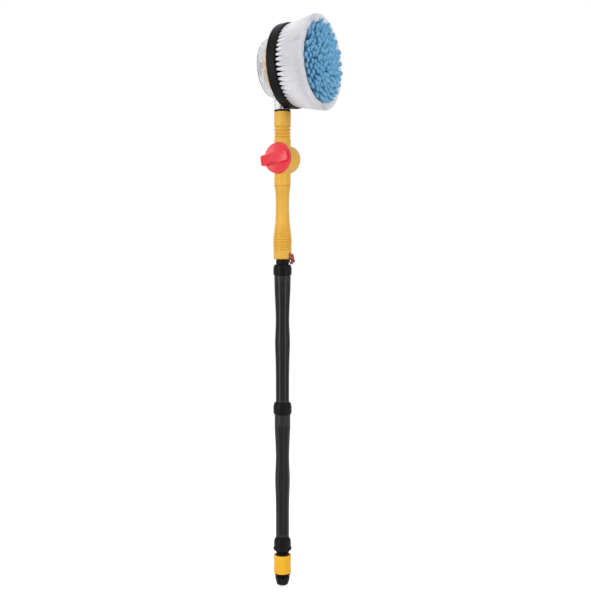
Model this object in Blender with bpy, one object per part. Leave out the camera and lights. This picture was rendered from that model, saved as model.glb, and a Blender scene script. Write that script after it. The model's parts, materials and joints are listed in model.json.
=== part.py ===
"""Rotary hose brush: a wash brush turned by the water that runs through its pole.

The pole stands up along +Z, the brush faces +X, and the origin is the middle of the hand grip on
the pole's axis. Every size is in metres.
"""
import math

import bmesh
import bpy
from mathutils import Matrix

# Clearances
SEAT_GAP = 0.0003            # between pieces that rest on or inside each other
RUNNING_GAP = 0.0005         # between pieces that turn or slide on each other
OVERRUN = 0.002              # how far a cutter reaches past the face it opens

# Hand grip
GRIP_LENGTH = 0.138
GRIP_PALM_RADIUS = 0.0177
GRIP_SHAPE_SHARES = ((0.0, 0.85), (0.09, 0.755), (0.25, 0.715), (0.42, 0.75), (0.53, 0.825),
                     (0.64, 0.935), (0.75, 1.0), (0.86, 0.98), (1.0, 0.95))
GRIP_RIB_COUNT = 8
GRIP_RIB_DEPTH = 0.0007
GRIP_RIB_SPAN_SHARES = (0.55, 0.89)
GRIP_CHANNEL_RADIUS = 0.0080
SPIGOT_RADIUS = 0.0106       # of the tubes that plug one handle piece into the next
SPIGOT_LENGTH = 0.026
WATER_RADIUS = 0.0070        # the water's way through the spigots

# Handle with the flow valve
HANDLE_RADIUS = 0.0158
LOWER_HANDLE_RADIUS = 0.0155
HANDLE_CHAMFER = 0.0010
VALVE_RISE = 0.0523          # valve axis above the grip's top
HANDLE_RISE = 0.088          # handle's top above the valve axis
VALVE_AZIMUTH = math.radians(-94)
VALVE_RADIUS = 0.0260
VALVE_FRONT = 0.0112
VALVE_BACK = 0.0248
VALVE_EDGE = 0.0030
VALVE_WATER_RADIUS = 0.0060
RELIEF_COUNT = 4             # grooves round the tube above the valve
RELIEF_PITCH = 0.0065
RELIEF_DEPTH = 0.0031
RELIEF_RISE = 0.0605         # of the uppermost groove, above the valve axis
PLUG_RADIUS = 0.0118
PLUG_BACK = 0.0200
PLUG_FRONT = 0.0086
PLUG_BORE_RADIUS = 0.0055
PLUG_GROOVE = 0.0010         # depth and half width of the groove that takes the plug's seal
PLUG_SEAL_PLACE = 0.0073     # in front of the cross bore's middle
STEM_HALF_WIDTH = 0.0036
CLIP_THICKNESS = 0.0012
CLIP_RADIUS = 0.0120
CLIP_BORE_RADIUS = 0.0100

# Flow knob
KNOB_RADIUS = 0.0288
KNOB_THICKNESS = 0.0065
KNOB_BACK = 0.0136
KNOB_EDGE = 0.0015
KNOB_HUB_RADIUS = 0.0084
KNOB_BAR_HALF_WIDTH = 0.0102
KNOB_BAR_REACH = 0.0340
KNOB_BAR_TAIL = 0.0255
KNOB_BAR_HEIGHT = 0.0050
KNOB_BAR_CORNER = 0.0040
KNOB_TILT = math.radians(8)

# Poles
POLE_BORE_RADIUS = 0.0075
CONNECTOR_REACH = 0.0098     # of the connector that shows between the grip and the top collar
CONNECTOR_RADIUS = 0.0123
COLLAR_RADIUS = 0.0175
COLLAR_EDGE = 0.0018
COLLAR_BORE_RADIUS = 0.0150
TOP_COLLAR_HEIGHT = 0.0205
MID_COLLAR_HEIGHT = 0.0218
UPPER_POLE_LENGTH = 0.2420
LOWER_POLE_LENGTH = 0.2350
UPPER_SOCKET_RADIUS = 0.0157
LOWER_SOCKET_RADIUS = 0.0151
SOCKET_WALL_RADIUS = 0.0113  # bore of the sockets that take the spigots
POLE_SPIGOT_LENGTH = 0.0130  # below the middle collar
POLE_SHAPE_SHARES = ((0.0, 1.0), (0.10, 0.99), (0.26, 0.875), (0.37, 0.843),
                     (0.53, 0.935), (0.67, 0.865), (0.80, 0.832), (0.95, 0.828))
POLE_FLARE_SHARE = 0.93      # of the socket radius, at the pole's very end
FLUTE_COUNT = 8
FLUTE_DEPTH = 0.0010
FLUTE_PROFILE_SHARES = (1.0, 0.0, 0.0)   # of its depth, at points from one flute to the next
FLUTE_START_SHARE = 0.05
FLUTE_END_SHARE = 0.975
FLUTE_FADE_SHARE = 0.025

# Release latch on the connector
LATCH_WIDTH = 0.0085
LATCH_TOP_RISE = 0.0105      # above the grip's lower end
LATCH_CREST_RADIUS = 0.0240
LATCH_END_RADIUS = 0.0200
LATCH_BACK_RADIUS = 0.0178
LATCH_TOOTH = 0.0018
LATCH_EDGE = 0.0015
LATCH_PIN_RADIUS = 0.0010
LATCH_PIN_DROP = 0.0030      # pivot below the grip's lower end
LATCH_PIN_PLACE = 0.0205     # pivot from the pole's axis
LATCH_EAR_THICKNESS = 0.0018
LATCH_EAR_RADIUS = 0.0026
LATCH_SPRING_WIRE = 0.0003   # radius
LATCH_SPRING_RADIUS = 0.0017
LATCH_SPRING_TURNS = 2

# Tap adaptor at the pole's foot
ADAPTOR_HEIGHT = 0.0355
ADAPTOR_RADIUS = 0.0174
ADAPTOR_SHAPE_SHARES = ((0.0, 0.72), (0.155, 0.90), (0.35, 0.935), (0.49, 0.925),
                        (0.57, 1.0), (0.66, 0.985), (0.82, 0.69), (1.0, 0.685))
ADAPTOR_SOCKET_DEPTH = 0.0160
NOSE_RADIUS = 0.0076
NOSE_GROOVE_RADIUS = 0.0063
NOSE_LENGTH = 0.0215
NOSE_BORE_RADIUS = 0.0045
NOSE_SEAL_RISE = 0.0040      # above the nose's end
GASKET_THICKNESS = 0.0020

# Quick coupling and hose nut
COUPLING_RADIUS = 0.0114
COUPLING_SOCKET_RADIUS = 0.0080
COUPLING_RIM_RADIUS = 0.0130
COUPLING_RIM_HEIGHT = 0.0026
COUPLING_FLANGE_RADIUS = 0.0152
COUPLING_FLANGE_HEIGHT = 0.0044
CLAW_COUNT = 3
CLAW_HEIGHT = 0.0054
CLAW_HALF_ANGLE = math.radians(17)
CLAW_DROP = 0.0038           # below the coupling's top face
CLAW_INNER_RADIUS = 0.0069
CLAW_OUTER_RADIUS = 0.0116
SLEEVE_RADIUS = 0.0168
SLEEVE_HEIGHT = 0.0340
SLEEVE_OVERLAP = 0.0022      # above the coupling's top face
SLEEVE_WALL = 0.0012
SLEEVE_EDGE = 0.0012
SLEEVE_LAND_HEIGHT = 0.0080
SLEEVE_SPRING_WIRE = 0.0006  # radius
SLEEVE_SPRING_RADIUS = 0.0137
SLEEVE_SPRING_TURNS = 3
HOSE_STUB_RADIUS = 0.0103
HOSE_STUB_LENGTH = 0.0065
HOSE_TAIL_RADIUS = 0.0062
HOSE_BARB = 0.0006
HOSE_BARB_COUNT = 2
HOSE_BORE_RADIUS = 0.0090    # of the nut's mouth
HOSE_NUT_DROP = 0.0022       # below the coupling's flange
HOSE_NUT_HEIGHT = 0.0160
HOSE_NUT_RADIUS = 0.0137
HOSE_NUT_SHAPE_SHARES = ((0.0, 0.93), (0.07, 1.0), (0.35, 1.0), (0.62, 0.90), (1.0, 0.78))
HOSE_NUT_BORE_RADIUS = 0.0109
HOSE_NUT_LOBES = 9
HOSE_NUT_LOBE_POINTS = 2
HOSE_NUT_LOBE_DEPTH = 0.0008
COLLET_HEIGHT = 0.0056
COLLET_SLOT = 0.0016
COLLET_SLOT_DEPTH = 0.0040

# Clear motor housing
HEAD_RISE = 0.0845           # brush axis above the handle's top
HOUSING_RADIUS = 0.0560
HOUSING_WALL = 0.0025
HOUSING_BACK = 0.0270        # behind the pole's axis
HOUSING_FRONT = 0.0076
HOUSING_ROUND = 0.0070
BEARING_BOSS_RADIUS = 0.0055
BEARING_BOSS_HEIGHT = 0.0045
NECK_RADIUS = 0.0136
NECK_SHIFT = 0.0018          # behind the pole's axis
NECK_FLARE_SHARES = ((0.0, 1.0), (0.5, 1.0), (0.72, 1.08), (0.86, 1.22), (1.0, 1.62))
NECK_RIM_RADIUS = 0.0155
NECK_RIM_HEIGHT = 0.0034
NIPPLE_RADIUS = 0.0104
NIPPLE_BORE_RADIUS = 0.0072
NIPPLE_TIP_RADIUS = 0.0056   # of its narrower upper end, beside the disc
NIPPLE_TIP_BORE_RADIUS = 0.0040
NIPPLE_REACH = 0.0112        # into the handle, and into the neck
WASHER_THICKNESS = 0.0033
INLET_RADIUS = 0.0052
INLET_OFFSET = 0.0090        # of the jet to one side of the turbine's axis
INLET_PLACE = 0.0165         # of the jet behind the pole's axis
CASE_SCREW_COUNT = 3
CASE_SCREW_INSET = 0.0095    # of the screws' axes from the drum's outside
CASE_SCREW_RADIUS = 0.0014
CASE_SCREW_HEAD_RADIUS = 0.0029
CASE_SCREW_HEAD_HEIGHT = 0.0018
CASE_SCREW_LENGTH = 0.0220
CASE_BOSS_RADIUS = 0.0038
WATER_HOLE_INSET = 0.0130    # from the drum's outside, of the holes that let the water on to the brush
WATER_HOLE_RADIUS = 0.0026

# Turbine and planetary gear
TURBINE_INSET = 0.0150       # of its rim from the drum's outside
TURBINE_HUB_RADIUS = 0.0070
TURBINE_DEPTH = 0.0116
TURBINE_GAP = 0.0026         # to the ring gear plate
TURBINE_PLATE = 0.0015
VANE_COUNT = 8
VANE_THICKNESS = 0.0016
VANE_ROOT_RADIUS = 0.0130
VANE_SWEEP = math.radians(46)
VANE_STEPS = 2
SHAFT_RADIUS = 0.0020
RING_INSET = 0.02465         # of the ring gear's pitch circle from the drum's outside
PRESSURE_ANGLE = math.radians(20)
SUN_TEETH = 9
PLANET_TEETH = 12
PLANET_COUNT = 3
TOOTH_TIP_SHARE = 0.8        # of the module, above the pitch circle
TOOTH_ROOT_SHARE = 1.1       # of the module, below the pitch circle
BACKLASH = 0.00036
GEAR_WIDTH = 0.0056
SUN_COLLAR_RADIUS = 0.0046
PIN_RADIUS = 0.0016
PIN_DEPTH = 0.0025           # in the carrier
GEAR_WEB = 0.0030            # floor of the ring gear plate
RING_BACKING = 0.0032        # wall behind the ring gear's teeth
RING_RIM = 0.0030
CARRIER_MARGIN = 0.00885     # outside the planets' pins
CARRIER_THICKNESS = 0.0035
HUB_RADIUS = 0.0110
HUB_LENGTH = 0.0125
HEX_RADIUS = 0.0106          # corners of the hexagon that drives the brush
COVER_THICKNESS = 0.0028
BUSH_WALL = 0.0020
BUSH_FLANGE_RADIUS = 0.0170
BUSH_FLANGE_THICKNESS = 0.0014

# Brush
DISC_BACK = 0.0083           # rear rim in front of the pole's axis
DISC_DEPTH = 0.0187
DISC_BACK_RADIUS = 0.0788
DISC_FRONT_RADIUS = 0.0798
DISC_CHAMFER = 0.0017
DISC_WALL = 0.0030
DISC_PLATE = 0.0075
DISC_BOSS_RADIUS = 0.0160
DISC_RIB_COUNT = 6
DISC_RIB_THICKNESS = 0.0025
DISC_RIB_HEIGHT = 0.0045
OUTLET_COUNT = 3
OUTLET_RADIUS = 0.0012
OUTLET_PLACE = 0.0559
BRUSH_SCREW_RADIUS = 0.0025
BRUSH_SCREW_HEAD_RADIUS = 0.0050
BRUSH_SCREW_HEAD_HEIGHT = 0.0032
BRUSH_SCREW_LENGTH = 0.0155
BRUSH_SCREW_SOCKET_RADIUS = 0.0024
BRUSH_WASHER_RADIUS = 0.0078
BRUSH_WASHER_THICKNESS = 0.0012
SCREW_POCKET_RADIUS = 0.0090
SCREW_POCKET_DEPTH = 0.0076
TUFT_ROWS = 3
TUFTS_PER_ROW = 72
TUFT_LENGTH = 0.0570
TUFT_OUTER_ROW = 0.0742      # radius of the outer row where it leaves the disc
TUFT_ROW_PITCH = 0.0064
TUFT_ROOT_SHARE = 0.5        # of a tuft's section, where it leaves the disc
TUFT_TIP_OUTER_ROW = 0.0858  # radius of the outer row's tips
TUFT_TIP_ROW_PITCH = 0.0048
TUFT_TIP_HALF_DEPTH = 0.0019
TUFT_GAP = 0.0006            # between the tips of neighbouring tufts
TUFT_SHOULDER_SHARE = 0.17   # of its length, where an outer tuft widens to meet its neighbours
TUFT_OUTER_CORNER_SHARES = ((-1, -1), (1, -1), (1, 1), (-1, 1))
TUFT_INNER_CORNER_SHARES = ((-1, 0), (1, -1), (1, 1))
TUFT_BACKING = 0.0020
TUFT_BACKING_MARGIN = 0.0013
TUFT_ROOT = 0.0010           # of a strand that is sunk in its backing
FOAM_HEIGHT = 0.0402
FOAM_BASE_RADIUS = 0.0550
FOAM_TOP_RADIUS = 0.0640
PAD_RADIUS = 0.0650
PAD_THICKNESS = 0.0022
FINGER_COUNT = 84
FINGER_LENGTH = 0.0270
FINGER_RADIUS = 0.0050
FINGER_SIDES = 3
FINGER_FIELD_RADIUS = 0.0600  # that the fingers stand in, at the pad
FINGER_SHAPE_SHARES = ((0.0, 1.0, 1.0), (1.0, 1.15, 1.05))
FINGER_DOME_SHARE = 0.12     # of its length that the outermost finger is shorter

# Seals
SEAL_GROOVE = 0.0010         # depth and half width of a groove
LIP_HEIGHT = 0.0024          # of the seals on the spigots' ends
SEAL_SECTION = 0.0005        # radius of the rubber's own section

# Sides of round pieces
POLE_SIDES = 14
SMALL_SIDES = 12
SCREW_SIDES = 8
KNOB_SIDES = 20
HOUSING_SIDES = 28
DISC_SIDES = 36
SEAL_SECTION_SIDES = 4

QUARTER_TURN = math.radians(90)
FULL_TURN = math.radians(360)
GOLDEN_TURN = FULL_TURN * (1 - 2 / (1 + math.sqrt(5)))
SMOOTH_LIMIT = math.radians(32)
MERGE_DISTANCE = 0.000001

# Levels along the pole, from the grip outwards
grip_top = GRIP_LENGTH / 2
grip_bottom = -grip_top
valve_level = grip_top + VALVE_RISE
handle_top = valve_level + HANDLE_RISE
neck_bottom = handle_top + WASHER_THICKNESS + 2 * SEAT_GAP
head_level = handle_top + HEAD_RISE
collar_top = grip_bottom - CONNECTOR_REACH
collar_bottom = collar_top - TOP_COLLAR_HEIGHT
mid_collar_top = collar_bottom - UPPER_POLE_LENGTH
mid_collar_bottom = mid_collar_top - MID_COLLAR_HEIGHT
pole_end = mid_collar_bottom - LOWER_POLE_LENGTH
adaptor_top = pole_end - SEAT_GAP
adaptor_bottom = adaptor_top - ADAPTOR_HEIGHT
nose_end = adaptor_bottom - NOSE_LENGTH
coupling_top = adaptor_bottom - RUNNING_GAP
coupling_floor = nose_end - RUNNING_GAP
claw_top = coupling_top - CLAW_DROP
claw_bottom = claw_top - CLAW_HEIGHT
sleeve_top = coupling_top + SLEEVE_OVERLAP
sleeve_bottom = sleeve_top - SLEEVE_HEIGHT
land_top = coupling_top - COUPLING_RIM_HEIGHT - SEAT_GAP
land_bottom = land_top - SLEEVE_LAND_HEIGHT
flange_top = sleeve_bottom + SEAT_GAP
flange_bottom = flange_top - COUPLING_FLANGE_HEIGHT
nut_top = flange_bottom - HOSE_NUT_DROP
nut_bottom = nut_top - HOSE_NUT_HEIGHT
stub_end = flange_bottom - HOSE_STUB_LENGTH

# Places along the brush axis, measured forward from the pole's axis
ring_teeth = SUN_TEETH + 2 * PLANET_TEETH
ring_pitch = HOUSING_RADIUS - RING_INSET
tooth_module = 2 * ring_pitch / ring_teeth
sun_pitch = tooth_module * SUN_TEETH / 2
planet_pitch = tooth_module * PLANET_TEETH / 2
planet_place = sun_pitch + planet_pitch
carrier_radius = planet_place + CARRIER_MARGIN
case_screw_place = HOUSING_RADIUS - CASE_SCREW_INSET
water_hole_place = HOUSING_RADIUS - WATER_HOLE_INSET
turbine_radius = HOUSING_RADIUS - TURBINE_INSET
housing_bore = HOUSING_RADIUS - HOUSING_WALL
housing_floor = -HOUSING_BACK + HOUSING_WALL
plate_radius = housing_bore - RUNNING_GAP
cover_front = HOUSING_FRONT - SEAT_GAP
cover_back = cover_front - COVER_THICKNESS
carrier_front = cover_back - RUNNING_GAP
carrier_back = carrier_front - CARRIER_THICKNESS
gear_front = carrier_back - RUNNING_GAP
gear_back = gear_front - GEAR_WIDTH
web_front = gear_back - RUNNING_GAP
web_back = web_front - GEAR_WEB
turbine_front = web_back - TURBINE_GAP
turbine_back = turbine_front - TURBINE_DEPTH
boss_front = housing_floor + BEARING_BOSS_HEIGHT
bush_front = cover_front + SEAT_GAP + BUSH_FLANGE_THICKNESS
disc_front = DISC_BACK + DISC_DEPTH
disc_plate_back = disc_front - DISC_PLATE
disc_boss_back = bush_front + RUNNING_GAP
hub_front = carrier_front + HUB_LENGTH
screw_seat = disc_front - SCREW_POCKET_DEPTH
slice_back = disc_front - TUFT_BACKING
tuft_tips = disc_front + TUFT_LENGTH
foam_back = slice_back
foam_front = foam_back + FOAM_HEIGHT
pad_back = foam_front + SEAT_GAP
pad_front = pad_back + PAD_THICKNESS


def finish(name, colour, roughness, metallic=0.0, alpha=1.0):
    """A material with one Principled surface."""
    made = bpy.data.materials.get(name)
    if made is None:
        made = bpy.data.materials.new(name)
        made.use_nodes = True
        surface = made.node_tree.nodes["Principled BSDF"]
        surface.inputs["Base Color"].default_value = (*colour, 1.0)
        surface.inputs["Roughness"].default_value = roughness
        surface.inputs["Metallic"].default_value = metallic
        surface.inputs["Alpha"].default_value = alpha
    return made


def frame_empty(name, place, turn):
    """An empty whose local +Z is the axis of what is parented to it."""
    empty = bpy.data.objects.new(name, None)
    bpy.context.scene.collection.objects.link(empty)
    empty.location = place
    empty.rotation_euler = turn
    return empty


def make_object(name, bm, material, frame=None, place=(0, 0, 0), turn=0.0):
    """Turns a bmesh into a smooth-shaded object standing on a frame."""
    bmesh.ops.remove_doubles(bm, verts=bm.verts, dist=MERGE_DISTANCE)
    bmesh.ops.recalc_face_normals(bm, faces=bm.faces)
    mesh = bpy.data.meshes.new(name)
    bm.to_mesh(mesh)
    bm.free()
    mesh.shade_smooth()
    mesh.set_sharp_from_angle(angle=SMOOTH_LIMIT)
    mesh.materials.append(material)
    obj = bpy.data.objects.new(name, mesh)
    bpy.context.scene.collection.objects.link(obj)
    obj.parent = frame
    obj.location = place
    obj.rotation_euler = (0, 0, turn)
    return obj


def as_cutter(obj):
    """Hides a shape that only shapes others."""
    obj.hide_render = True
    obj.display_type = 'WIRE'
    return obj


def combine(obj, other, operation):
    """Cuts another shape out of an object, or joins it on."""
    boolean = obj.modifiers.new(other.name, 'BOOLEAN')
    boolean.operation = operation
    boolean.solver = 'EXACT'
    boolean.object = as_cutter(other)
    return obj


def cut(obj, *others):
    for other in others:
        combine(obj, other, 'DIFFERENCE')
    return obj


def join(obj, *others):
    for other in others:
        combine(obj, other, 'UNION')
    return obj


def turned_mesh(outline, sides):
    """Spins an outline of (radius, height) points. A hollow outline closes on itself off the axis."""
    bm = bmesh.new()
    corners = [bm.verts.new((radius, 0, height)) for radius, height in outline]
    pairs = list(zip(corners, corners[1:]))
    if outline[0][0] > 0:
        pairs.append((corners[-1], corners[0]))
    edges = [bm.edges.new(pair) for pair in pairs]
    bmesh.ops.spin(bm, geom=corners + edges, cent=(0, 0, 0), axis=(0, 0, 1), dvec=(0, 0, 0),
                   angle=FULL_TURN, steps=sides, use_merge=True)
    return bm


def turned(name, outline, sides, material, frame=None, place=(0, 0, 0), turn=0.0):
    return make_object(name, turned_mesh(outline, sides), material, frame, place, turn)


def tube(bore, radius, low, high):
    return [(bore, low), (radius, low), (radius, high), (bore, high)]


def arc(centre_radius, centre_height, radius, start, end, steps):
    """Points of a circular corner in an outline, with its angles in degrees."""
    angles = [math.radians(start + (end - start) * step / steps) for step in range(steps + 1)]
    return [(centre_radius + radius * math.cos(a), centre_height + radius * math.sin(a))
            for a in angles]


def ring_points(count, radius, height, centre=(0, 0), hollows=None, start=0.0):
    """A level ring of points. Hollows are the depths that the points lie inside the radius."""
    points = []
    for index in range(count):
        angle = start + FULL_TURN * index / count
        reach = radius - (hollows[index] if hollows else 0)
        points.append((centre[0] + reach * math.cos(angle), centre[1] + reach * math.sin(angle), height))
    return points


def add_loft(bm, rings):
    """Skins rings of points and closes both ends."""
    loops = [[bm.verts.new(point) for point in ring] for ring in rings]
    for low, high in zip(loops, loops[1:]):
        for index in range(len(low)):
            following = (index + 1) % len(low)
            bm.faces.new((low[index], low[following], high[following], high[index]))
    bm.faces.new(list(reversed(loops[0])))
    bm.faces.new(loops[-1])


def lofted_mesh(rings):
    bm = bmesh.new()
    add_loft(bm, rings)
    return bm


def extruded_mesh(outlines, low, high):
    """Raises flat outlines of (x, y) points into solids."""
    bm = bmesh.new()
    for outline in outlines:
        add_loft(bm, [[(x, y, height) for x, y in outline] for height in (low, high)])
    return bm


def block_mesh(*blocks):
    """Boxes, each between two opposite corners."""
    bm = bmesh.new()
    for low, high in blocks:
        middle = [(a + b) / 2 for a, b in zip(low, high)]
        size = [b - a for a, b in zip(low, high)]
        bmesh.ops.create_cube(bm, size=1.0,
                              matrix=Matrix.Translation(middle) @ Matrix.Diagonal((*size, 1)))
    return bm


def rods_mesh(radius, low, high, sides, places=((0, 0),)):
    """Upright rods at the given places."""
    bm = bmesh.new()
    for place in places:
        add_loft(bm, [ring_points(sides, radius, height, place) for height in (low, high)])
    return bm


def circle_places(count, radius, start=0.0):
    return [(x, y) for x, y, _ in ring_points(count, radius, 0, start=start)]


def stacked_mesh(profile, sides):
    """A solid round piece from its (radius, height) steps, with flat ends."""
    return lofted_mesh([ring_points(sides, radius, height) for radius, height in profile])


def laid_down(bm):
    """Turns a shape made along +Z so that it lies along Y."""
    bmesh.ops.rotate(bm, verts=bm.verts, cent=(0, 0, 0), matrix=Matrix.Rotation(QUARTER_TURN, 3, 'X'))
    return bm


def sector(inner, outer, half_angle, middle, steps=2):
    """Outline of a piece of a ring."""
    angles = [middle - half_angle + 2 * half_angle * step / steps for step in range(steps + 1)]
    return ([(outer * math.cos(a), outer * math.sin(a)) for a in angles]
            + [(inner * math.cos(a), inner * math.sin(a)) for a in reversed(angles)])


def smooth_value(table, share):
    """Reads a smooth curve through a table of (place, value) pairs."""
    places = [place for place, _ in table]
    values = [value for _, value in table]
    share = min(max(share, places[0]), places[-1])
    index = max(i for i in range(len(places) - 1) if places[i] <= share)
    slopes = []
    for knot in (index, index + 1):
        before, after = max(knot - 1, 0), min(knot + 1, len(places) - 1)
        slopes.append((values[after] - values[before]) / (places[after] - places[before]))
    span = places[index + 1] - places[index]
    t = (share - places[index]) / span
    return ((2 * t ** 3 - 3 * t ** 2 + 1) * values[index] + (t ** 3 - 2 * t ** 2 + t) * span * slopes[0]
            + (3 * t ** 2 - 2 * t ** 3) * values[index + 1] + (t ** 3 - t ** 2) * span * slopes[1])


def seal_ring(name, inner_radius, section, level, frame=None):
    outline = arc(inner_radius + section, level, section, 0, 360 - 360 / SEAL_SECTION_SIDES,
                  SEAL_SECTION_SIDES - 1)
    return turned(name, outline, POLE_SIDES, rubber, frame)


def groove_outline(radius, depth, half_width, level):
    """A square groove in a rod, from its upper edge down."""
    return [(radius, level + half_width), (radius - depth, level + half_width),
            (radius - depth, level - half_width), (radius, level - half_width)]


def coil(name, radius, wire, low, high, turns, frame):
    """A compression spring: one unbroken wire whose ends run straight for one wire diameter."""
    steps = 8 * turns
    lead = 2 * wire
    bottom, top = low + wire, high - wire
    points = [(radius, -lead, bottom)]
    for step in range(steps + 1):
        angle = FULL_TURN * turns * step / steps
        points.append((radius * math.cos(angle), radius * math.sin(angle),
                       bottom + (top - bottom) * step / steps))
    points.append((radius, lead, top))
    curve = bpy.data.curves.new(name, 'CURVE')
    curve.dimensions = '3D'
    curve.bevel_depth = wire
    curve.bevel_resolution = 1
    curve.use_fill_caps = True
    spline = curve.splines.new('POLY')
    spline.points.add(len(points) - 1)
    for vertex, point in zip(spline.points, points):
        vertex.co = (*point, 1)
    curve.materials.append(steel)
    obj = bpy.data.objects.new(name, curve)
    bpy.context.scene.collection.objects.link(obj)
    obj.parent = frame
    gaps = [math.dist(a, b) for i, a in enumerate(points) for b in points[i + 6:]]
    print(name, "least gap to itself in mm:", round(1000 * (min(gaps) - 2 * wire), 2))
    return obj


# Finishes, with the colours of the photograph
yellow_plastic = finish("yellow_plastic", (0.83, 0.54, 0.12), 0.42)
bright_yellow = finish("bright_yellow_plastic", (0.92, 0.56, 0.03), 0.38)
black_plastic = finish("black_plastic", (0.022, 0.022, 0.024), 0.5)
charcoal_plastic = finish("charcoal_plastic", (0.050, 0.051, 0.055), 0.5)
red_plastic = finish("red_plastic", (0.78, 0.055, 0.07), 0.38)
clear_plastic = finish("clear_plastic", (0.86, 0.87, 0.88), 0.12, alpha=0.35)
white_acetal = finish("white_acetal", (0.80, 0.80, 0.78), 0.4)
grey_acetal = finish("grey_acetal", (0.55, 0.56, 0.58), 0.4)
steel = finish("stainless_steel", (0.62, 0.62, 0.64), 0.28, metallic=1.0)
rubber = finish("black_rubber", (0.015, 0.015, 0.015), 0.8)
nylon = finish("white_nylon", (0.78, 0.78, 0.86), 0.5)
foam = finish("grey_foam", (0.35, 0.38, 0.42), 0.95)
chenille = finish("blue_chenille", (0.10, 0.40, 0.70), 0.95)


# Hand grip and handle

def build_grip():
    first, last = GRIP_RIB_SPAN_SHARES
    pitch = (last - first) / GRIP_RIB_COUNT
    shares = [share for share, _ in GRIP_SHAPE_SHARES if share < first]
    shares += [first + pitch * step / 2 for step in range(2 * GRIP_RIB_COUNT + 1)]
    outline = []
    for share in shares:
        radius = GRIP_PALM_RADIUS * smooth_value(GRIP_SHAPE_SHARES, share)
        if share > first and round(2 * (share - first) / pitch) % 2:
            radius -= GRIP_RIB_DEPTH
        outline.append((radius, grip_top - GRIP_LENGTH * share))
    end = GRIP_PALM_RADIUS * GRIP_SHAPE_SHARES[-1][1]
    socket_depth = SPIGOT_LENGTH + SEAT_GAP
    outline += [(end, grip_bottom + COLLAR_EDGE), (end - COLLAR_EDGE, grip_bottom),
                (SOCKET_WALL_RADIUS, grip_bottom), (SOCKET_WALL_RADIUS, grip_bottom + socket_depth),
                (GRIP_CHANNEL_RADIUS, grip_bottom + socket_depth),
                (GRIP_CHANNEL_RADIUS, grip_top - socket_depth),
                (SOCKET_WALL_RADIUS, grip_top - socket_depth), (SOCKET_WALL_RADIUS, grip_top)]
    grip = turned("hand_grip", outline, POLE_SIDES, yellow_plastic)
    tooth_top = grip_bottom + LATCH_TOP_RISE
    pocket = make_object("latch_pocket_cutter", block_mesh((
        (GRIP_PALM_RADIUS - LATCH_TOOTH - SEAT_GAP, -LATCH_WIDTH / 2 - SEAT_GAP,
         tooth_top - LATCH_TOOTH - 2 * SEAT_GAP),
        (GRIP_PALM_RADIUS + OVERRUN, LATCH_WIDTH / 2 + SEAT_GAP, tooth_top + 3 * SEAT_GAP))), yellow_plastic)
    cut(grip, pocket)


def spigot_end_outline(end, side):
    """A spigot's end, stepped down for a lip seal. Side is 1 where the spigot comes from above."""
    step = end + side * LIP_HEIGHT
    return [(SPIGOT_RADIUS, step), (SPIGOT_RADIUS - SEAL_GROOVE, step), (SPIGOT_RADIUS - SEAL_GROOVE, end)]


def lip_seal(name, end, side):
    low, high = sorted((end, end + side * (LIP_HEIGHT - SEAT_GAP)))
    turned(name, tube(SPIGOT_RADIUS - SEAL_GROOVE + SEAT_GAP, SPIGOT_RADIUS + SEAT_GAP, low, high),
           POLE_SIDES, rubber)


def build_handle(valve_frame):
    outline = [(0, handle_top), (HANDLE_RADIUS - HANDLE_CHAMFER, handle_top),
               (HANDLE_RADIUS, handle_top - HANDLE_CHAMFER)]
    for index in range(RELIEF_COUNT):
        upper = valve_level + RELIEF_RISE - RELIEF_PITCH * index
        outline += [(HANDLE_RADIUS, upper), (HANDLE_RADIUS - RELIEF_DEPTH, upper - RELIEF_PITCH / 3),
                    (HANDLE_RADIUS, upper - 2 * RELIEF_PITCH / 3)]
    outline += [(LOWER_HANDLE_RADIUS, valve_level - VALVE_RADIUS),
                (LOWER_HANDLE_RADIUS, grip_top + SEAT_GAP), (SPIGOT_RADIUS, grip_top + SEAT_GAP)]
    outline += spigot_end_outline(grip_top - SPIGOT_LENGTH, 1) + [(0, grip_top - SPIGOT_LENGTH)]
    handle = turned("valve_handle", outline, POLE_SIDES, yellow_plastic)
    barrel = turned("valve_barrel_form", [(0, -VALVE_BACK)]
                    + arc(VALVE_RADIUS - VALVE_EDGE, -VALVE_BACK + VALVE_EDGE, VALVE_EDGE, -90, 0, 1)
                    + [(VALVE_RADIUS, VALVE_FRONT), (0, VALVE_FRONT)],
                    KNOB_SIDES, yellow_plastic, valve_frame)
    knob_room = make_object("knob_room_cutter", rods_mesh(
        KNOB_RADIUS + 2 * RUNNING_GAP, KNOB_BACK - RUNNING_GAP, HANDLE_RADIUS + OVERRUN, KNOB_SIDES),
        yellow_plastic, valve_frame)
    socket_floor = handle_top - NIPPLE_REACH - SEAT_GAP
    low, high = grip_top - SPIGOT_LENGTH - OVERRUN, handle_top + OVERRUN
    channel = turned("handle_channel_cutter", [
        (0, low), (WATER_RADIUS, low), (WATER_RADIUS, grip_top),
        (VALVE_WATER_RADIUS, grip_top + COLLAR_EDGE), (VALVE_WATER_RADIUS, socket_floor),
        (NIPPLE_RADIUS + SEAT_GAP, socket_floor), (NIPPLE_RADIUS + SEAT_GAP, high), (0, high)],
        POLE_SIDES, yellow_plastic)
    wall = PLUG_RADIUS + RUNNING_GAP
    chamber = make_object("plug_chamber_cutter", rods_mesh(
        wall, -PLUG_BACK - RUNNING_GAP, HANDLE_RADIUS + OVERRUN, POLE_SIDES), yellow_plastic, valve_frame)
    cut(join(handle, barrel), channel, chamber, knob_room)
    lip_seal("grip_seal", grip_top - SPIGOT_LENGTH, 1)


# Flow valve: a plug with a cross bore, turned by the knob

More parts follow.
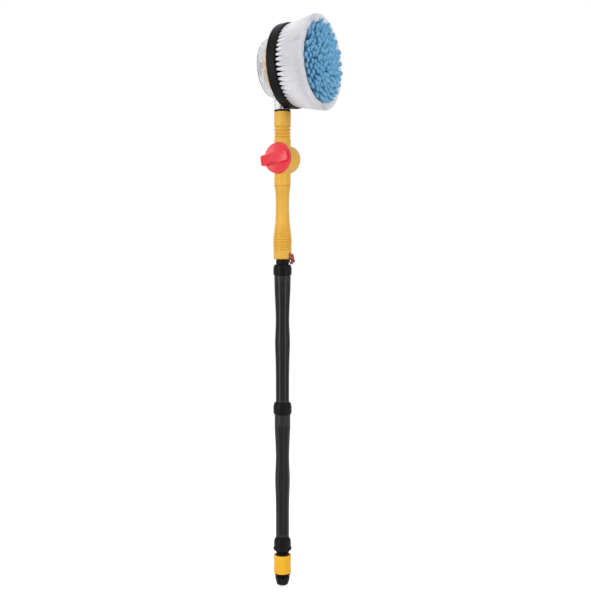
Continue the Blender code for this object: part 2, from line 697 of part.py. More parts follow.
def build_valve(valve_frame):
    outline = [(0, PLUG_FRONT), (PLUG_RADIUS, PLUG_FRONT)]
    outline += groove_outline(PLUG_RADIUS, PLUG_GROOVE, PLUG_GROOVE, PLUG_SEAL_PLACE)
    outline += [(PLUG_RADIUS, -PLUG_BACK), (0, -PLUG_BACK)]
    plug = turned("valve_plug", outline, POLE_SIDES, white_acetal, valve_frame)
    half = STEM_HALF_WIDTH
    stem_front = KNOB_BACK + KNOB_THICKNESS / 2
    stem = make_object("plug_stem_form", block_mesh(
        ((-half, -half, PLUG_FRONT - OVERRUN), (half, half, stem_front))),
        white_acetal, valve_frame, turn=KNOB_TILT)
    reach = PLUG_RADIUS + OVERRUN
    bore = make_object("plug_bore_cutter", laid_down(rods_mesh(PLUG_BORE_RADIUS, -reach, reach, SMALL_SIDES)),
                       white_acetal, valve_frame, turn=KNOB_TILT)
    cut(join(plug, stem), bore)
    inner = PLUG_RADIUS - PLUG_GROOVE + SEAT_GAP / 2
    section = (PLUG_RADIUS + RUNNING_GAP / 2 - inner) / 2
    seal_ring("plug_seal", inner, section, PLUG_SEAL_PLACE, valve_frame)
    clip_back = PLUG_FRONT + SEAT_GAP
    turned("plug_retaining_ring", tube(CLIP_BORE_RADIUS, CLIP_RADIUS, clip_back, clip_back + CLIP_THICKNESS),
           POLE_SIDES, steel, valve_frame)


def build_knob(valve_frame):
    """A disc whose grip bar passes the rim on one side."""
    front = KNOB_BACK + KNOB_THICKNESS
    hub_back = VALVE_FRONT + RUNNING_GAP
    knob = turned("flow_knob", [
        (0, hub_back), (KNOB_HUB_RADIUS, hub_back), (KNOB_HUB_RADIUS, KNOB_BACK),
        (KNOB_RADIUS - KNOB_EDGE / 2, KNOB_BACK), (KNOB_RADIUS, KNOB_BACK + KNOB_EDGE / 2),
        (KNOB_RADIUS, front - KNOB_EDGE), (KNOB_RADIUS - KNOB_EDGE, front), (0, front)],
        KNOB_SIDES, red_plastic, valve_frame, turn=KNOB_TILT)
    side = KNOB_BAR_HALF_WIDTH - KNOB_BAR_CORNER
    tail, tip = KNOB_BAR_TAIL - KNOB_BAR_CORNER, KNOB_BAR_CORNER - KNOB_BAR_REACH
    outline = []
    for quarter, (x, y) in enumerate(((side, tail), (-side, tail), (-side, tip), (side, tip))):
        outline += arc(x, y, KNOB_BAR_CORNER, 90 * quarter, 90 * quarter + 90, 2)
    bar_front = front + KNOB_BAR_HEIGHT
    bar_mesh = extruded_mesh([outline], HANDLE_RADIUS + RUNNING_GAP, bar_front)
    rim = [edge for edge in bar_mesh.edges if all(vert.co.z > front for vert in edge.verts)]
    bmesh.ops.bevel(bar_mesh, geom=rim, offset=KNOB_EDGE, offset_type='OFFSET', segments=1, profile=0.5,
                    affect='EDGES')
    bar = make_object("knob_bar_form", bar_mesh, red_plastic, valve_frame, turn=KNOB_TILT)
    half = STEM_HALF_WIDTH + SEAT_GAP
    stem_room = make_object("stem_socket_cutter", block_mesh(
        ((-half, -half, hub_back - OVERRUN), (half, half, KNOB_BACK + KNOB_THICKNESS / 2 + SEAT_GAP))),
        red_plastic, valve_frame, turn=KNOB_TILT)
    cut(join(knob, bar), stem_room)


# Connector below the grip, with its release latch

def build_connector(pin_level):
    """Two spigots with seals, the neck between them, and the ears that carry the latch."""
    high, low = grip_bottom + SPIGOT_LENGTH, collar_top - SPIGOT_LENGTH
    neck_high, neck_low = grip_bottom - SEAT_GAP, collar_top + SEAT_GAP
    outline = [(WATER_RADIUS, high)] + spigot_end_outline(high, -1)[::-1]
    outline += [(SPIGOT_RADIUS, neck_high), (CONNECTOR_RADIUS, neck_high), (CONNECTOR_RADIUS, neck_low),
                (SPIGOT_RADIUS, neck_low)]
    outline += spigot_end_outline(low, 1) + [(WATER_RADIUS, low)]
    connector = turned("pole_connector", outline, POLE_SIDES, charcoal_plastic)
    near = LATCH_WIDTH / 2 + RUNNING_GAP
    far = near + LATCH_EAR_THICKNESS
    ear_back, ear_front = CONNECTOR_RADIUS - OVERRUN, LATCH_PIN_PLACE + LATCH_EAR_RADIUS
    ear_low = pin_level - LATCH_EAR_RADIUS
    ears = make_object("latch_ears_form", block_mesh(
        ((ear_back, near, ear_low), (ear_front, far, neck_high)),
        ((ear_back, -far, ear_low), (ear_front, -near, neck_high))), charcoal_plastic)
    bore = make_object("ear_bore_cutter", laid_down(
        rods_mesh(LATCH_PIN_RADIUS + SEAT_GAP, -LATCH_WIDTH, LATCH_WIDTH, SCREW_SIDES)),
        charcoal_plastic, place=(LATCH_PIN_PLACE, 0, pin_level))
    cut(join(connector, ears), bore)
    lip_seal("connector_seal_upper", high, -1)
    lip_seal("connector_seal_lower", low, 1)


def build_latch(pin_level):
    """A lever that hooks the grip: pressing its lower end lifts its tooth out."""
    latch_frame = frame_empty("latch_pivot", (LATCH_PIN_PLACE, 0, pin_level), (0, 0, 0))
    top = grip_bottom + LATCH_TOP_RISE - pin_level
    bottom = collar_top + SEAT_GAP - pin_level
    tooth, back, end, crest = (reach - LATCH_PIN_PLACE for reach in (
        GRIP_PALM_RADIUS - LATCH_TOOTH, LATCH_BACK_RADIUS + SEAT_GAP, LATCH_END_RADIUS, LATCH_CREST_RADIUS))
    outline = [(tooth, top), (tooth, top - LATCH_TOOTH), (back, top - LATCH_TOOTH), (back, bottom),
               (end, bottom), (crest - LATCH_EDGE, -LATCH_PIN_DROP / 2), (crest, LATCH_PIN_DROP / 2),
               (crest - LATCH_EDGE / 2, LATCH_PIN_DROP), (end + LATCH_EDGE, top - LATCH_EDGE),
               (end - LATCH_EDGE / 2, top)]
    latch = make_object("release_latch", laid_down(
        extruded_mesh([outline], -LATCH_WIDTH / 2, LATCH_WIDTH / 2)), red_plastic, latch_frame)
    cut(latch, make_object("latch_bore_cutter", laid_down(
        rods_mesh(LATCH_PIN_RADIUS + SEAT_GAP, -LATCH_WIDTH, LATCH_WIDTH, SCREW_SIDES)),
        red_plastic, latch_frame))
    reach = LATCH_WIDTH / 2 + RUNNING_GAP + LATCH_EAR_THICKNESS
    make_object("latch_pin", laid_down(rods_mesh(LATCH_PIN_RADIUS, -reach, reach, SCREW_SIDES)), steel,
                place=(LATCH_PIN_PLACE, 0, pin_level))
    spring_level = collar_top + LATCH_SPRING_RADIUS + LATCH_SPRING_WIRE + 2 * RUNNING_GAP
    spring_frame = frame_empty("latch_spring_axis", (0, 0, spring_level), (0, QUARTER_TURN, 0))
    coil("latch_spring", LATCH_SPRING_RADIUS, LATCH_SPRING_WIRE, CONNECTOR_RADIUS + SEAT_GAP,
         LATCH_BACK_RADIUS, LATCH_SPRING_TURNS, spring_frame)


# Poles

def collar(name, top, height):
    return turned(name, [
        (COLLAR_BORE_RADIUS, top), (COLLAR_RADIUS - COLLAR_EDGE, top), (COLLAR_RADIUS, top - COLLAR_EDGE),
        (COLLAR_RADIUS, top - height + COLLAR_EDGE), (COLLAR_RADIUS - COLLAR_EDGE, top - height),
        (COLLAR_BORE_RADIUS, top - height)], FLUTE_COUNT * len(FLUTE_PROFILE_SHARES), charcoal_plastic)


def fluted_rings(top, length, socket_radius):
    """Rings of a pole's waisted outside, with flutes that fade out before both ends."""
    shares = sorted({share for share, _ in POLE_SHAPE_SHARES if share > 0}
                    | {FLUTE_START_SHARE, FLUTE_END_SHARE})
    rings = []
    count = FLUTE_COUNT * len(FLUTE_PROFILE_SHARES)
    for share in shares:
        radius = socket_radius * smooth_value(POLE_SHAPE_SHARES, share)
        inside = min(share - FLUTE_START_SHARE, FLUTE_END_SHARE - share) / FLUTE_FADE_SHARE
        depth = FLUTE_DEPTH * min(max(inside, 0), 1)
        hollows = [depth * hollow for hollow in FLUTE_PROFILE_SHARES] * FLUTE_COUNT
        rings.append(ring_points(count, radius, top - length * share, hollows=hollows))
    return rings


def build_pole(name, tube_top, shoulder, length, socket_radius, socket_floor, spigot_end):
    """A plain tube inside the collar, the fluted waisted pole, its flared end and a spigot."""
    count = FLUTE_COUNT * len(FLUTE_PROFILE_SHARES)
    end = shoulder - length
    tube_radius = COLLAR_BORE_RADIUS - SEAT_GAP
    step = shoulder - SEAT_GAP
    rings = [ring_points(count, tube_radius, tube_top), ring_points(count, tube_radius, step),
             ring_points(count, socket_radius, step)]
    rings += fluted_rings(shoulder, length, socket_radius)
    rings += [ring_points(count, socket_radius * POLE_FLARE_SHARE, end + SEAT_GAP),
              ring_points(count, SPIGOT_RADIUS, end + SEAT_GAP),
              ring_points(count, SPIGOT_RADIUS, spigot_end)]
    pole = make_object(name, lofted_mesh(rings), charcoal_plastic)
    low, high = spigot_end - OVERRUN, tube_top + OVERRUN
    cut(pole, turned(f"{name}_bore_cutter", [
        (0, low), (POLE_BORE_RADIUS, low), (POLE_BORE_RADIUS, socket_floor),
        (SOCKET_WALL_RADIUS, socket_floor), (SOCKET_WALL_RADIUS, high), (0, high)],
        POLE_SIDES, charcoal_plastic))


def build_poles():
    collar("top_collar", collar_top, TOP_COLLAR_HEIGHT)
    collar("middle_collar", mid_collar_top, MID_COLLAR_HEIGHT)
    upper_end = mid_collar_bottom - POLE_SPIGOT_LENGTH
    build_pole("upper_pole", collar_top, collar_bottom, UPPER_POLE_LENGTH, UPPER_SOCKET_RADIUS,
               collar_top - SPIGOT_LENGTH - SEAT_GAP, upper_end)
    tube_top = mid_collar_top - GASKET_THICKNESS - SEAT_GAP
    build_pole("lower_pole", tube_top, mid_collar_bottom, LOWER_POLE_LENGTH, LOWER_SOCKET_RADIUS,
               upper_end - SEAT_GAP, adaptor_top - ADAPTOR_SOCKET_DEPTH + SEAT_GAP)
    turned("pole_gasket", tube(SPIGOT_RADIUS + SEAT_GAP, COLLAR_BORE_RADIUS - SEAT_GAP,
                               tube_top + SEAT_GAP, mid_collar_top), POLE_SIDES, rubber)


# Tap adaptor, quick coupling and hose nut

def build_adaptor():
    outline = [(ADAPTOR_RADIUS * radius, adaptor_top - ADAPTOR_HEIGHT * share)
               for share, radius in ADAPTOR_SHAPE_SHARES]
    floor = adaptor_top - ADAPTOR_SOCKET_DEPTH
    outline += [(NOSE_RADIUS, adaptor_bottom),
                (NOSE_RADIUS, claw_top + RUNNING_GAP), (NOSE_GROOVE_RADIUS, claw_top + RUNNING_GAP),
                (NOSE_GROOVE_RADIUS, claw_bottom - RUNNING_GAP), (NOSE_RADIUS, claw_bottom - RUNNING_GAP)]
    seal_level = nose_end + NOSE_SEAL_RISE
    outline += groove_outline(NOSE_RADIUS, SEAL_GROOVE, SEAL_GROOVE, seal_level)
    outline += [(NOSE_RADIUS, nose_end), (NOSE_BORE_RADIUS, nose_end),
                (NOSE_BORE_RADIUS, floor - OVERRUN), (POLE_BORE_RADIUS, floor),
                (SOCKET_WALL_RADIUS, floor), (SOCKET_WALL_RADIUS, adaptor_top)]
    turned("tap_adaptor", outline, POLE_SIDES, black_plastic)
    seal_ring("nose_seal", NOSE_RADIUS - SEAL_GROOVE + SEAT_GAP / 2, SEAL_SECTION - SEAT_GAP / 3, seal_level)


def build_coupling():
    """The body that turns on the nose, held by claws that the sprung sleeve keeps shut."""
    outline = [(COUPLING_SOCKET_RADIUS, coupling_top), (COUPLING_RIM_RADIUS, coupling_top),
               (COUPLING_RIM_RADIUS, coupling_top - COUPLING_RIM_HEIGHT),
               (COUPLING_RADIUS, coupling_top - COUPLING_RIM_HEIGHT), (COUPLING_RADIUS, flange_top),
               (COUPLING_FLANGE_RADIUS, flange_top), (COUPLING_FLANGE_RADIUS, flange_bottom),
               (HOSE_STUB_RADIUS, flange_bottom), (HOSE_STUB_RADIUS, stub_end), (HOSE_TAIL_RADIUS, stub_end)]
    barb_pitch = (stub_end - nut_bottom) / (HOSE_BARB_COUNT + 1)
    for index in range(HOSE_BARB_COUNT):
        level = stub_end - barb_pitch * (index + 0.5)
        outline += [(HOSE_TAIL_RADIUS + HOSE_BARB, level), (HOSE_TAIL_RADIUS, level - barb_pitch / 2)]
    tail_end = nut_bottom + SEAT_GAP
    outline += [(HOSE_TAIL_RADIUS, tail_end), (NOSE_BORE_RADIUS, tail_end),
                (NOSE_BORE_RADIUS, coupling_floor), (COUPLING_SOCKET_RADIUS, coupling_floor)]
    body = turned("coupling_body", outline, POLE_SIDES, black_plastic)
    middles = [FULL_TURN * (index + 0.5) / CLAW_COUNT for index in range(CLAW_COUNT)]
    window_angle = CLAW_HALF_ANGLE + SEAT_GAP / CLAW_INNER_RADIUS
    windows = make_object("claw_window_cutter", extruded_mesh(
        [sector(CLAW_INNER_RADIUS - SEAT_GAP, COUPLING_RADIUS + OVERRUN, window_angle, middle)
         for middle in middles], claw_bottom - SEAT_GAP, claw_top + SEAT_GAP), black_plastic)
    cut(body, windows)
    for number, middle in enumerate(middles, 1):
        make_object(f"coupling_claw_{number}", extruded_mesh(
            [sector(CLAW_INNER_RADIUS, CLAW_OUTER_RADIUS, CLAW_HALF_ANGLE, middle)],
            claw_bottom, claw_top), white_acetal)


def build_sleeve():
    skirt = SLEEVE_RADIUS - SLEEVE_WALL
    recess = COUPLING_RIM_RADIUS + RUNNING_GAP
    land = CLAW_OUTER_RADIUS + RUNNING_GAP
    turned("coupling_sleeve", [
        (recess, sleeve_top), (SLEEVE_RADIUS - SLEEVE_EDGE, sleeve_top),
        (SLEEVE_RADIUS, sleeve_top - SLEEVE_EDGE), (SLEEVE_RADIUS, sleeve_bottom + SLEEVE_EDGE / 2),
        (SLEEVE_RADIUS - SLEEVE_EDGE / 2, sleeve_bottom),
        (skirt, sleeve_bottom), (skirt, land_bottom), (land, land_bottom), (land, land_top),
        (recess, land_top)], POLE_SIDES, bright_yellow)
    coil("sleeve_spring", SLEEVE_SPRING_RADIUS, SLEEVE_SPRING_WIRE, flange_top + SEAT_GAP,
         land_bottom - SEAT_GAP, SLEEVE_SPRING_TURNS, None)


def build_hose_nut():
    """A tapered nut with a lobed grip, and the slotted collet that it closes on the hose."""
    count = HOSE_NUT_LOBES * HOSE_NUT_LOBE_POINTS
    rings = []
    for share, radius in HOSE_NUT_SHAPE_SHARES:
        depth = HOSE_NUT_LOBE_DEPTH * math.sin(math.pi * min(share, 0.9))
        hollows = [depth * math.sin(math.pi * (index % HOSE_NUT_LOBE_POINTS) / HOSE_NUT_LOBE_POINTS)
                   for index in range(count)]
        rings.append(ring_points(count, HOSE_NUT_RADIUS * radius, nut_top - HOSE_NUT_HEIGHT * share,
                                 hollows=hollows))
    nut = make_object("hose_nut", lofted_mesh(rings), black_plastic)
    collet_top = stub_end - SEAT_GAP
    collet_bottom = collet_top - COLLET_HEIGHT
    low, high = nut_bottom - OVERRUN, nut_top + OVERRUN
    taper = HOSE_NUT_BORE_RADIUS - HOSE_BORE_RADIUS
    cut(nut, turned("nut_bore_cutter", [
        (0, low), (HOSE_BORE_RADIUS, low), (HOSE_BORE_RADIUS, collet_bottom - taper),
        (HOSE_NUT_BORE_RADIUS, collet_bottom), (HOSE_NUT_BORE_RADIUS, high), (0, high)],
        POLE_SIDES, black_plastic))
    outer = HOSE_NUT_BORE_RADIUS - 2 * SEAT_GAP
    collet = turned("hose_collet", [
        (HOSE_BORE_RADIUS, collet_top), (outer, collet_top), (outer, collet_bottom + taper),
        (outer - taper / 2, collet_bottom), (HOSE_BORE_RADIUS, collet_bottom)], POLE_SIDES, white_acetal)
    slots = extruded_mesh([[(-HOSE_NUT_RADIUS, -COLLET_SLOT / 2), (HOSE_NUT_RADIUS, -COLLET_SLOT / 2),
                            (HOSE_NUT_RADIUS, COLLET_SLOT / 2), (-HOSE_NUT_RADIUS, COLLET_SLOT / 2)]],
                          collet_bottom - OVERRUN, collet_bottom + COLLET_SLOT_DEPTH)
    crossed = slots.copy()
    bmesh.ops.rotate(crossed, verts=crossed.verts, cent=(0, 0, 0),
                     matrix=Matrix.Rotation(QUARTER_TURN, 3, 'Z'))
    cut(collet, make_object("collet_slot_cutter", slots, white_acetal),
        make_object("collet_cross_slot_cutter", crossed, white_acetal))


# Clear motor housing and its neck

def build_housing(head):
    drum = make_object("clear_housing", stacked_mesh(
        arc(HOUSING_RADIUS - HOUSING_ROUND, -HOUSING_BACK + HOUSING_ROUND, HOUSING_ROUND, -90, 0, 2)
        + [(HOUSING_RADIUS, HOUSING_FRONT)], HOUSING_SIDES), clear_plastic, head)
    rim_top = neck_bottom + NECK_RIM_HEIGHT
    drum_bottom = head_level - HOUSING_RADIUS
    neck_top = drum_bottom + 2 * HOUSING_WALL
    shift = (-NECK_SHIFT, 0)
    rings = [ring_points(POLE_SIDES, NECK_RIM_RADIUS, height) for height in (neck_bottom, rim_top)]
    rings += [ring_points(POLE_SIDES, NECK_RADIUS * radius, rim_top + (neck_top - rim_top) * share, shift)
              for share, radius in NECK_FLARE_SHARES]
    neck = make_object("neck_form", lofted_mesh(rings), clear_plastic)
    trim_face = DISC_BACK - 2 * RUNNING_GAP
    neck_trim = make_object("neck_trim_cutter", block_mesh(
        ((trim_face, -HOUSING_RADIUS, neck_bottom - OVERRUN),
         (2 * HOUSING_RADIUS, HOUSING_RADIUS, head_level))),
        clear_plastic)
    front_room = make_object("drum_front_cutter", rods_mesh(
        HOUSING_RADIUS, HOUSING_FRONT + SEAT_GAP, disc_front, HOUSING_SIDES), clear_plastic, head)
    inner_round = HOUSING_ROUND - HOUSING_WALL
    chamber = make_object("chamber_cutter", stacked_mesh(
        arc(housing_bore - inner_round, housing_floor + inner_round, inner_round, -90, 0, 2)
        + [(housing_bore, HOUSING_FRONT + OVERRUN)], HOUSING_SIDES), clear_plastic, head)
    socket_top = neck_bottom + NIPPLE_REACH + SEAT_GAP
    nipple_socket = make_object("nipple_socket_cutter", rods_mesh(
        NIPPLE_TIP_RADIUS + SEAT_GAP, neck_bottom - OVERRUN, socket_top, POLE_SIDES), clear_plastic)
    jet_top = head_level - housing_bore + HOUSING_ROUND
    jet = make_object("jet_cutter", lofted_mesh([
        ring_points(SMALL_SIDES, NIPPLE_TIP_BORE_RADIUS, socket_top - OVERRUN),
        ring_points(SMALL_SIDES, INLET_RADIUS, jet_top, (-INLET_PLACE, INLET_OFFSET))]), clear_plastic)
    join(drum, cut(neck, neck_trim, front_room))
    cut(drum, chamber, nipple_socket, jet)
    screws = circle_places(CASE_SCREW_COUNT, case_screw_place, QUARTER_TURN / 2)
    wall_middle = housing_floor - HOUSING_WALL / 2
    bosses = rods_mesh(CASE_BOSS_RADIUS, wall_middle, web_back - SEAT_GAP, SCREW_SIDES, screws)
    add_loft(bosses, [ring_points(SMALL_SIDES, BEARING_BOSS_RADIUS, height)
                      for height in (wall_middle, boss_front)])
    bosses_form = make_object("case_bosses_form", bosses, clear_plastic, head)
    hole_end = cover_front - CASE_SCREW_LENGTH - RUNNING_GAP
    holes = rods_mesh(CASE_SCREW_RADIUS + SEAT_GAP, hole_end, web_back + OVERRUN, SCREW_SIDES, screws)
    add_loft(holes, [ring_points(SMALL_SIDES, SHAFT_RADIUS + SEAT_GAP, height)
                     for height in (housing_floor + RUNNING_GAP, boss_front + OVERRUN)])
    cut(join(drum, bosses_form), make_object("case_hole_cutter", holes, clear_plastic, head))


def build_neck_fittings():
    low, high = handle_top - NIPPLE_REACH, neck_bottom + NIPPLE_REACH
    step = neck_bottom - SEAT_GAP
    bore_step = step - WASHER_THICKNESS
    turned("neck_nipple", [
        (NIPPLE_BORE_RADIUS, low), (NIPPLE_RADIUS, low), (NIPPLE_RADIUS, step), (NIPPLE_TIP_RADIUS, step),
        (NIPPLE_TIP_RADIUS, high), (NIPPLE_TIP_BORE_RADIUS, high),
        (NIPPLE_TIP_BORE_RADIUS, bore_step), (NIPPLE_BORE_RADIUS, bore_step)], SMALL_SIDES, black_plastic)
    turned("neck_washer", tube(NIPPLE_RADIUS + SEAT_GAP, HANDLE_RADIUS - SEAT_GAP, handle_top + SEAT_GAP,
                               neck_bottom - SEAT_GAP), POLE_SIDES, rubber)


# Turbine and planetary gear

def involute(radius, base_radius):
    """The involute's polar angle where it reaches a radius."""
    slope = math.acos(min(base_radius / radius, 1))
    return math.tan(slope) - slope


def gear_outline(teeth, tip, root, play, turn=0.0):
    """Outline of a gear with four points to a tooth. One tooth is centred on the turn's direction."""
    pitch_radius = tooth_module * teeth / 2
    base_radius = pitch_radius * math.cos(PRESSURE_ANGLE)
    middle = math.pi / (2 * teeth) - play / (2 * pitch_radius) + involute(pitch_radius, base_radius)
    halves = [(radius, middle - involute(max(radius, base_radius), base_radius)) for radius in (root, tip)]
    outline = []
    for tooth in range(teeth):
        centre = turn + FULL_TURN * tooth / teeth
        flanks = [(radius, -half) for radius, half in halves]
        flanks += [(radius, half) for radius, half in reversed(halves)]
        outline += [(radius * math.cos(centre + side), radius * math.sin(centre + side))
                    for radius, side in flanks]
    return outline


def build_turbine(head):
    hub_back = boss_front + RUNNING_GAP
    plate_back = turbine_front - TURBINE_PLATE
    wheel = make_object("turbine_wheel", rods_mesh(turbine_radius, plate_back, turbine_front, KNOB_SIDES),
                        grey_acetal, head)
    hub = make_object("turbine_hub_form", rods_mesh(
        TURBINE_HUB_RADIUS, hub_back, turbine_front - TURBINE_PLATE / 2, SMALL_SIDES), grey_acetal, head)
    bore = make_object("turbine_bore_cutter", rods_mesh(
        SHAFT_RADIUS + SEAT_GAP, hub_back - OVERRUN, turbine_front + OVERRUN, SMALL_SIDES), grey_acetal, head)
    vanes = []
    for index in range(VANE_COUNT):
        pressure, suction = [], []
        for step in range(VANE_STEPS + 1):
            share = step / VANE_STEPS
            radius = VANE_ROOT_RADIUS + (turbine_radius - SEAT_GAP - VANE_ROOT_RADIUS) * share
            angle = FULL_TURN * index / VANE_COUNT + VANE_SWEEP * share ** 1.5
            half = VANE_THICKNESS / 2 / radius
            pressure.append((radius * math.cos(angle - half), radius * math.sin(angle - half)))
            suction.append((radius * math.cos(angle + half), radius * math.sin(angle + half)))
        vanes.append(pressure + suction[::-1])
    vanes_form = make_object("turbine_vanes_form", extruded_mesh(
        vanes, turbine_back, turbine_front - TURBINE_PLATE / 2), grey_acetal, head)
    cut(join(wheel, hub, vanes_form), bore)
    shaft_low, shaft_high = housing_floor + 2 * RUNNING_GAP, carrier_back + PIN_DEPTH
    make_object("turbine_shaft", rods_mesh(SHAFT_RADIUS, shaft_low, shaft_high, SMALL_SIDES), steel, head)


def build_gears(head):
    tip, root = tooth_module * TOOTH_TIP_SHARE, tooth_module * TOOTH_ROOT_SHARE
    sun_turn = math.pi / SUN_TEETH * (1 - PLANET_TEETH % 2)
    sun_outline = gear_outline(SUN_TEETH, sun_pitch + tip, sun_pitch - root, BACKLASH, sun_turn)
    sun = make_object("sun_gear", extruded_mesh([sun_outline], gear_back, gear_front), white_acetal, head)
    collar_back = web_back - RUNNING_GAP
    sun_collar = make_object("sun_collar_form", rods_mesh(
        SUN_COLLAR_RADIUS, collar_back, gear_back + OVERRUN, POLE_SIDES), white_acetal, head)
    sun_bore = make_object("sun_bore_cutter", rods_mesh(
        SHAFT_RADIUS + SEAT_GAP, collar_back - OVERRUN, gear_front + OVERRUN, SMALL_SIDES),
        white_acetal, head)
    cut(join(sun, sun_collar), sun_bore)
    pin_places = circle_places(PLANET_COUNT, planet_place)
    for number, (x, y) in enumerate(pin_places, 1):
        direction = math.atan2(y, x)
        planet = make_object(f"planet_gear_{number}", extruded_mesh(
            [gear_outline(PLANET_TEETH, planet_pitch + tip, planet_pitch - root, BACKLASH, direction)],
            gear_back, gear_front), white_acetal, head, place=(x, y, 0))
        cut(planet, make_object(f"planet_bore_cutter_{number}", rods_mesh(
            PIN_RADIUS + SEAT_GAP, gear_back - OVERRUN, gear_front + OVERRUN, SMALL_SIDES),
            white_acetal, head, place=(x, y, 0)))
        make_object(f"planet_pin_{number}", rods_mesh(
            PIN_RADIUS, gear_back + SEAT_GAP, carrier_back + PIN_DEPTH, SMALL_SIDES), steel, head,
            place=(x, y, 0))
    build_ring_plate(head, tip, root)
    build_carrier(head, pin_places)


def build_ring_plate(head, tip, root):
    """The fixed plate inside the housing, with the ring gear on its front."""
    band = ring_pitch + root + RING_BACKING
    rim_front = cover_back - SEAT_GAP
    sun_room = SUN_COLLAR_RADIUS + RUNNING_GAP
    plate = make_object("ring_gear_plate", rods_mesh(plate_radius, web_back, rim_front, HOUSING_SIDES),
                        bright_yellow, head)
    recess = make_object("ring_recess_cutter", rods_mesh(
        plate_radius - RING_RIM, web_front, rim_front + OVERRUN, HOUSING_SIDES), bright_yellow, head)
    ring = make_object("ring_band_form", rods_mesh(band, web_front - GEAR_WEB / 2, gear_front, HOUSING_SIDES),
                       bright_yellow, head)
    bore = make_object("sun_room_cutter", rods_mesh(
        sun_room, web_back - OVERRUN, web_front + OVERRUN, SMALL_SIDES), bright_yellow, head)
    teeth = make_object("ring_teeth_cutter", extruded_mesh(
        [gear_outline(ring_teeth, ring_pitch + root, ring_pitch - tip, -BACKLASH)],
        web_front, gear_front + OVERRUN), bright_yellow, head)
    cut(join(cut(plate, recess), ring), teeth, bore, plate_holes(head, "ring_plate", web_back, web_front))


def plate_holes(head, name, back, front):
    """Cutter for the screws and the water that pass a plate."""
    holes = rods_mesh(CASE_SCREW_RADIUS + 2 * SEAT_GAP, back - OVERRUN, front + OVERRUN, SCREW_SIDES,
                      circle_places(CASE_SCREW_COUNT, case_screw_place, QUARTER_TURN / 2))
    for place in circle_places(CASE_SCREW_COUNT, water_hole_place):
        add_loft(holes, [ring_points(SCREW_SIDES, WATER_HOLE_RADIUS, height, place)
                         for height in (back - OVERRUN, front + OVERRUN)])
    return make_object(f"{name}_hole_cutter", holes, bright_yellow, head)


def build_carrier(head, pin_places):
    """The planets' carrier, whose hub runs in the cover's bush and drives the brush."""
    bore = SHAFT_RADIUS + SEAT_GAP
    bore_end = carrier_back + PIN_DEPTH + SEAT_GAP
    hub_end = disc_boss_back - SEAT_GAP
    carrier = make_object("output_carrier", stacked_mesh([
        (carrier_radius, carrier_back), (carrier_radius, carrier_front), (HUB_RADIUS, carrier_front),
        (HUB_RADIUS, hub_end)], KNOB_SIDES), white_acetal, head)
    drive = make_object("hub_drive_form", rods_mesh(HEX_RADIUS, carrier_front, hub_front, 6),
                        white_acetal, head)
    screw_end = screw_seat + BRUSH_WASHER_THICKNESS - BRUSH_SCREW_LENGTH - RUNNING_GAP
    screw_hole = make_object("hub_screw_cutter", rods_mesh(
        BRUSH_SCREW_RADIUS + SEAT_GAP, screw_end, hub_front + OVERRUN, SMALL_SIDES), white_acetal, head)
    pin_holes = make_object("pin_hole_cutter", rods_mesh(
        bore, carrier_back - OVERRUN, bore_end, SCREW_SIDES, pin_places + [(0, 0)]), white_acetal, head)
    cut(join(carrier, drive), screw_hole, pin_holes)


def build_cover(head):
    bush_outer = HUB_RADIUS + RUNNING_GAP + BUSH_WALL
    cover = make_object("gearbox_cover", rods_mesh(plate_radius, cover_back, cover_front, HOUSING_SIDES),
                        black_plastic, head)
    bush_bore = make_object("bush_bore_cutter", rods_mesh(
        bush_outer + SEAT_GAP, cover_back - OVERRUN, cover_front + OVERRUN, POLE_SIDES), black_plastic, head)
    cut(cover, bush_bore, plate_holes(head, "cover", cover_back, cover_front))
    flange_back = cover_front + SEAT_GAP
    turned("hub_bush", [
        (HUB_RADIUS + RUNNING_GAP, cover_back), (bush_outer, cover_back), (bush_outer, flange_back),
        (BUSH_FLANGE_RADIUS, flange_back), (BUSH_FLANGE_RADIUS, bush_front),
        (HUB_RADIUS + RUNNING_GAP, bush_front)], POLE_SIDES, white_acetal, head)
    head_back = cover_front + SEAT_GAP
    places = circle_places(CASE_SCREW_COUNT, case_screw_place, QUARTER_TURN / 2)
    for number, (x, y) in enumerate(places, 1):
        turned(f"housing_screw_{number}", [
            (0, cover_front - CASE_SCREW_LENGTH),
            (CASE_SCREW_RADIUS, cover_front - CASE_SCREW_LENGTH + OVERRUN),
            (CASE_SCREW_RADIUS, head_back), (CASE_SCREW_HEAD_RADIUS, head_back),
            (CASE_SCREW_HEAD_RADIUS - SEAT_GAP, head_back + CASE_SCREW_HEAD_HEIGHT),
            (0, head_back + CASE_SCREW_HEAD_HEIGHT)], SCREW_SIDES, steel, head, place=(x, y, 0))


# Brush: disc, bristles, foam and chenille pad

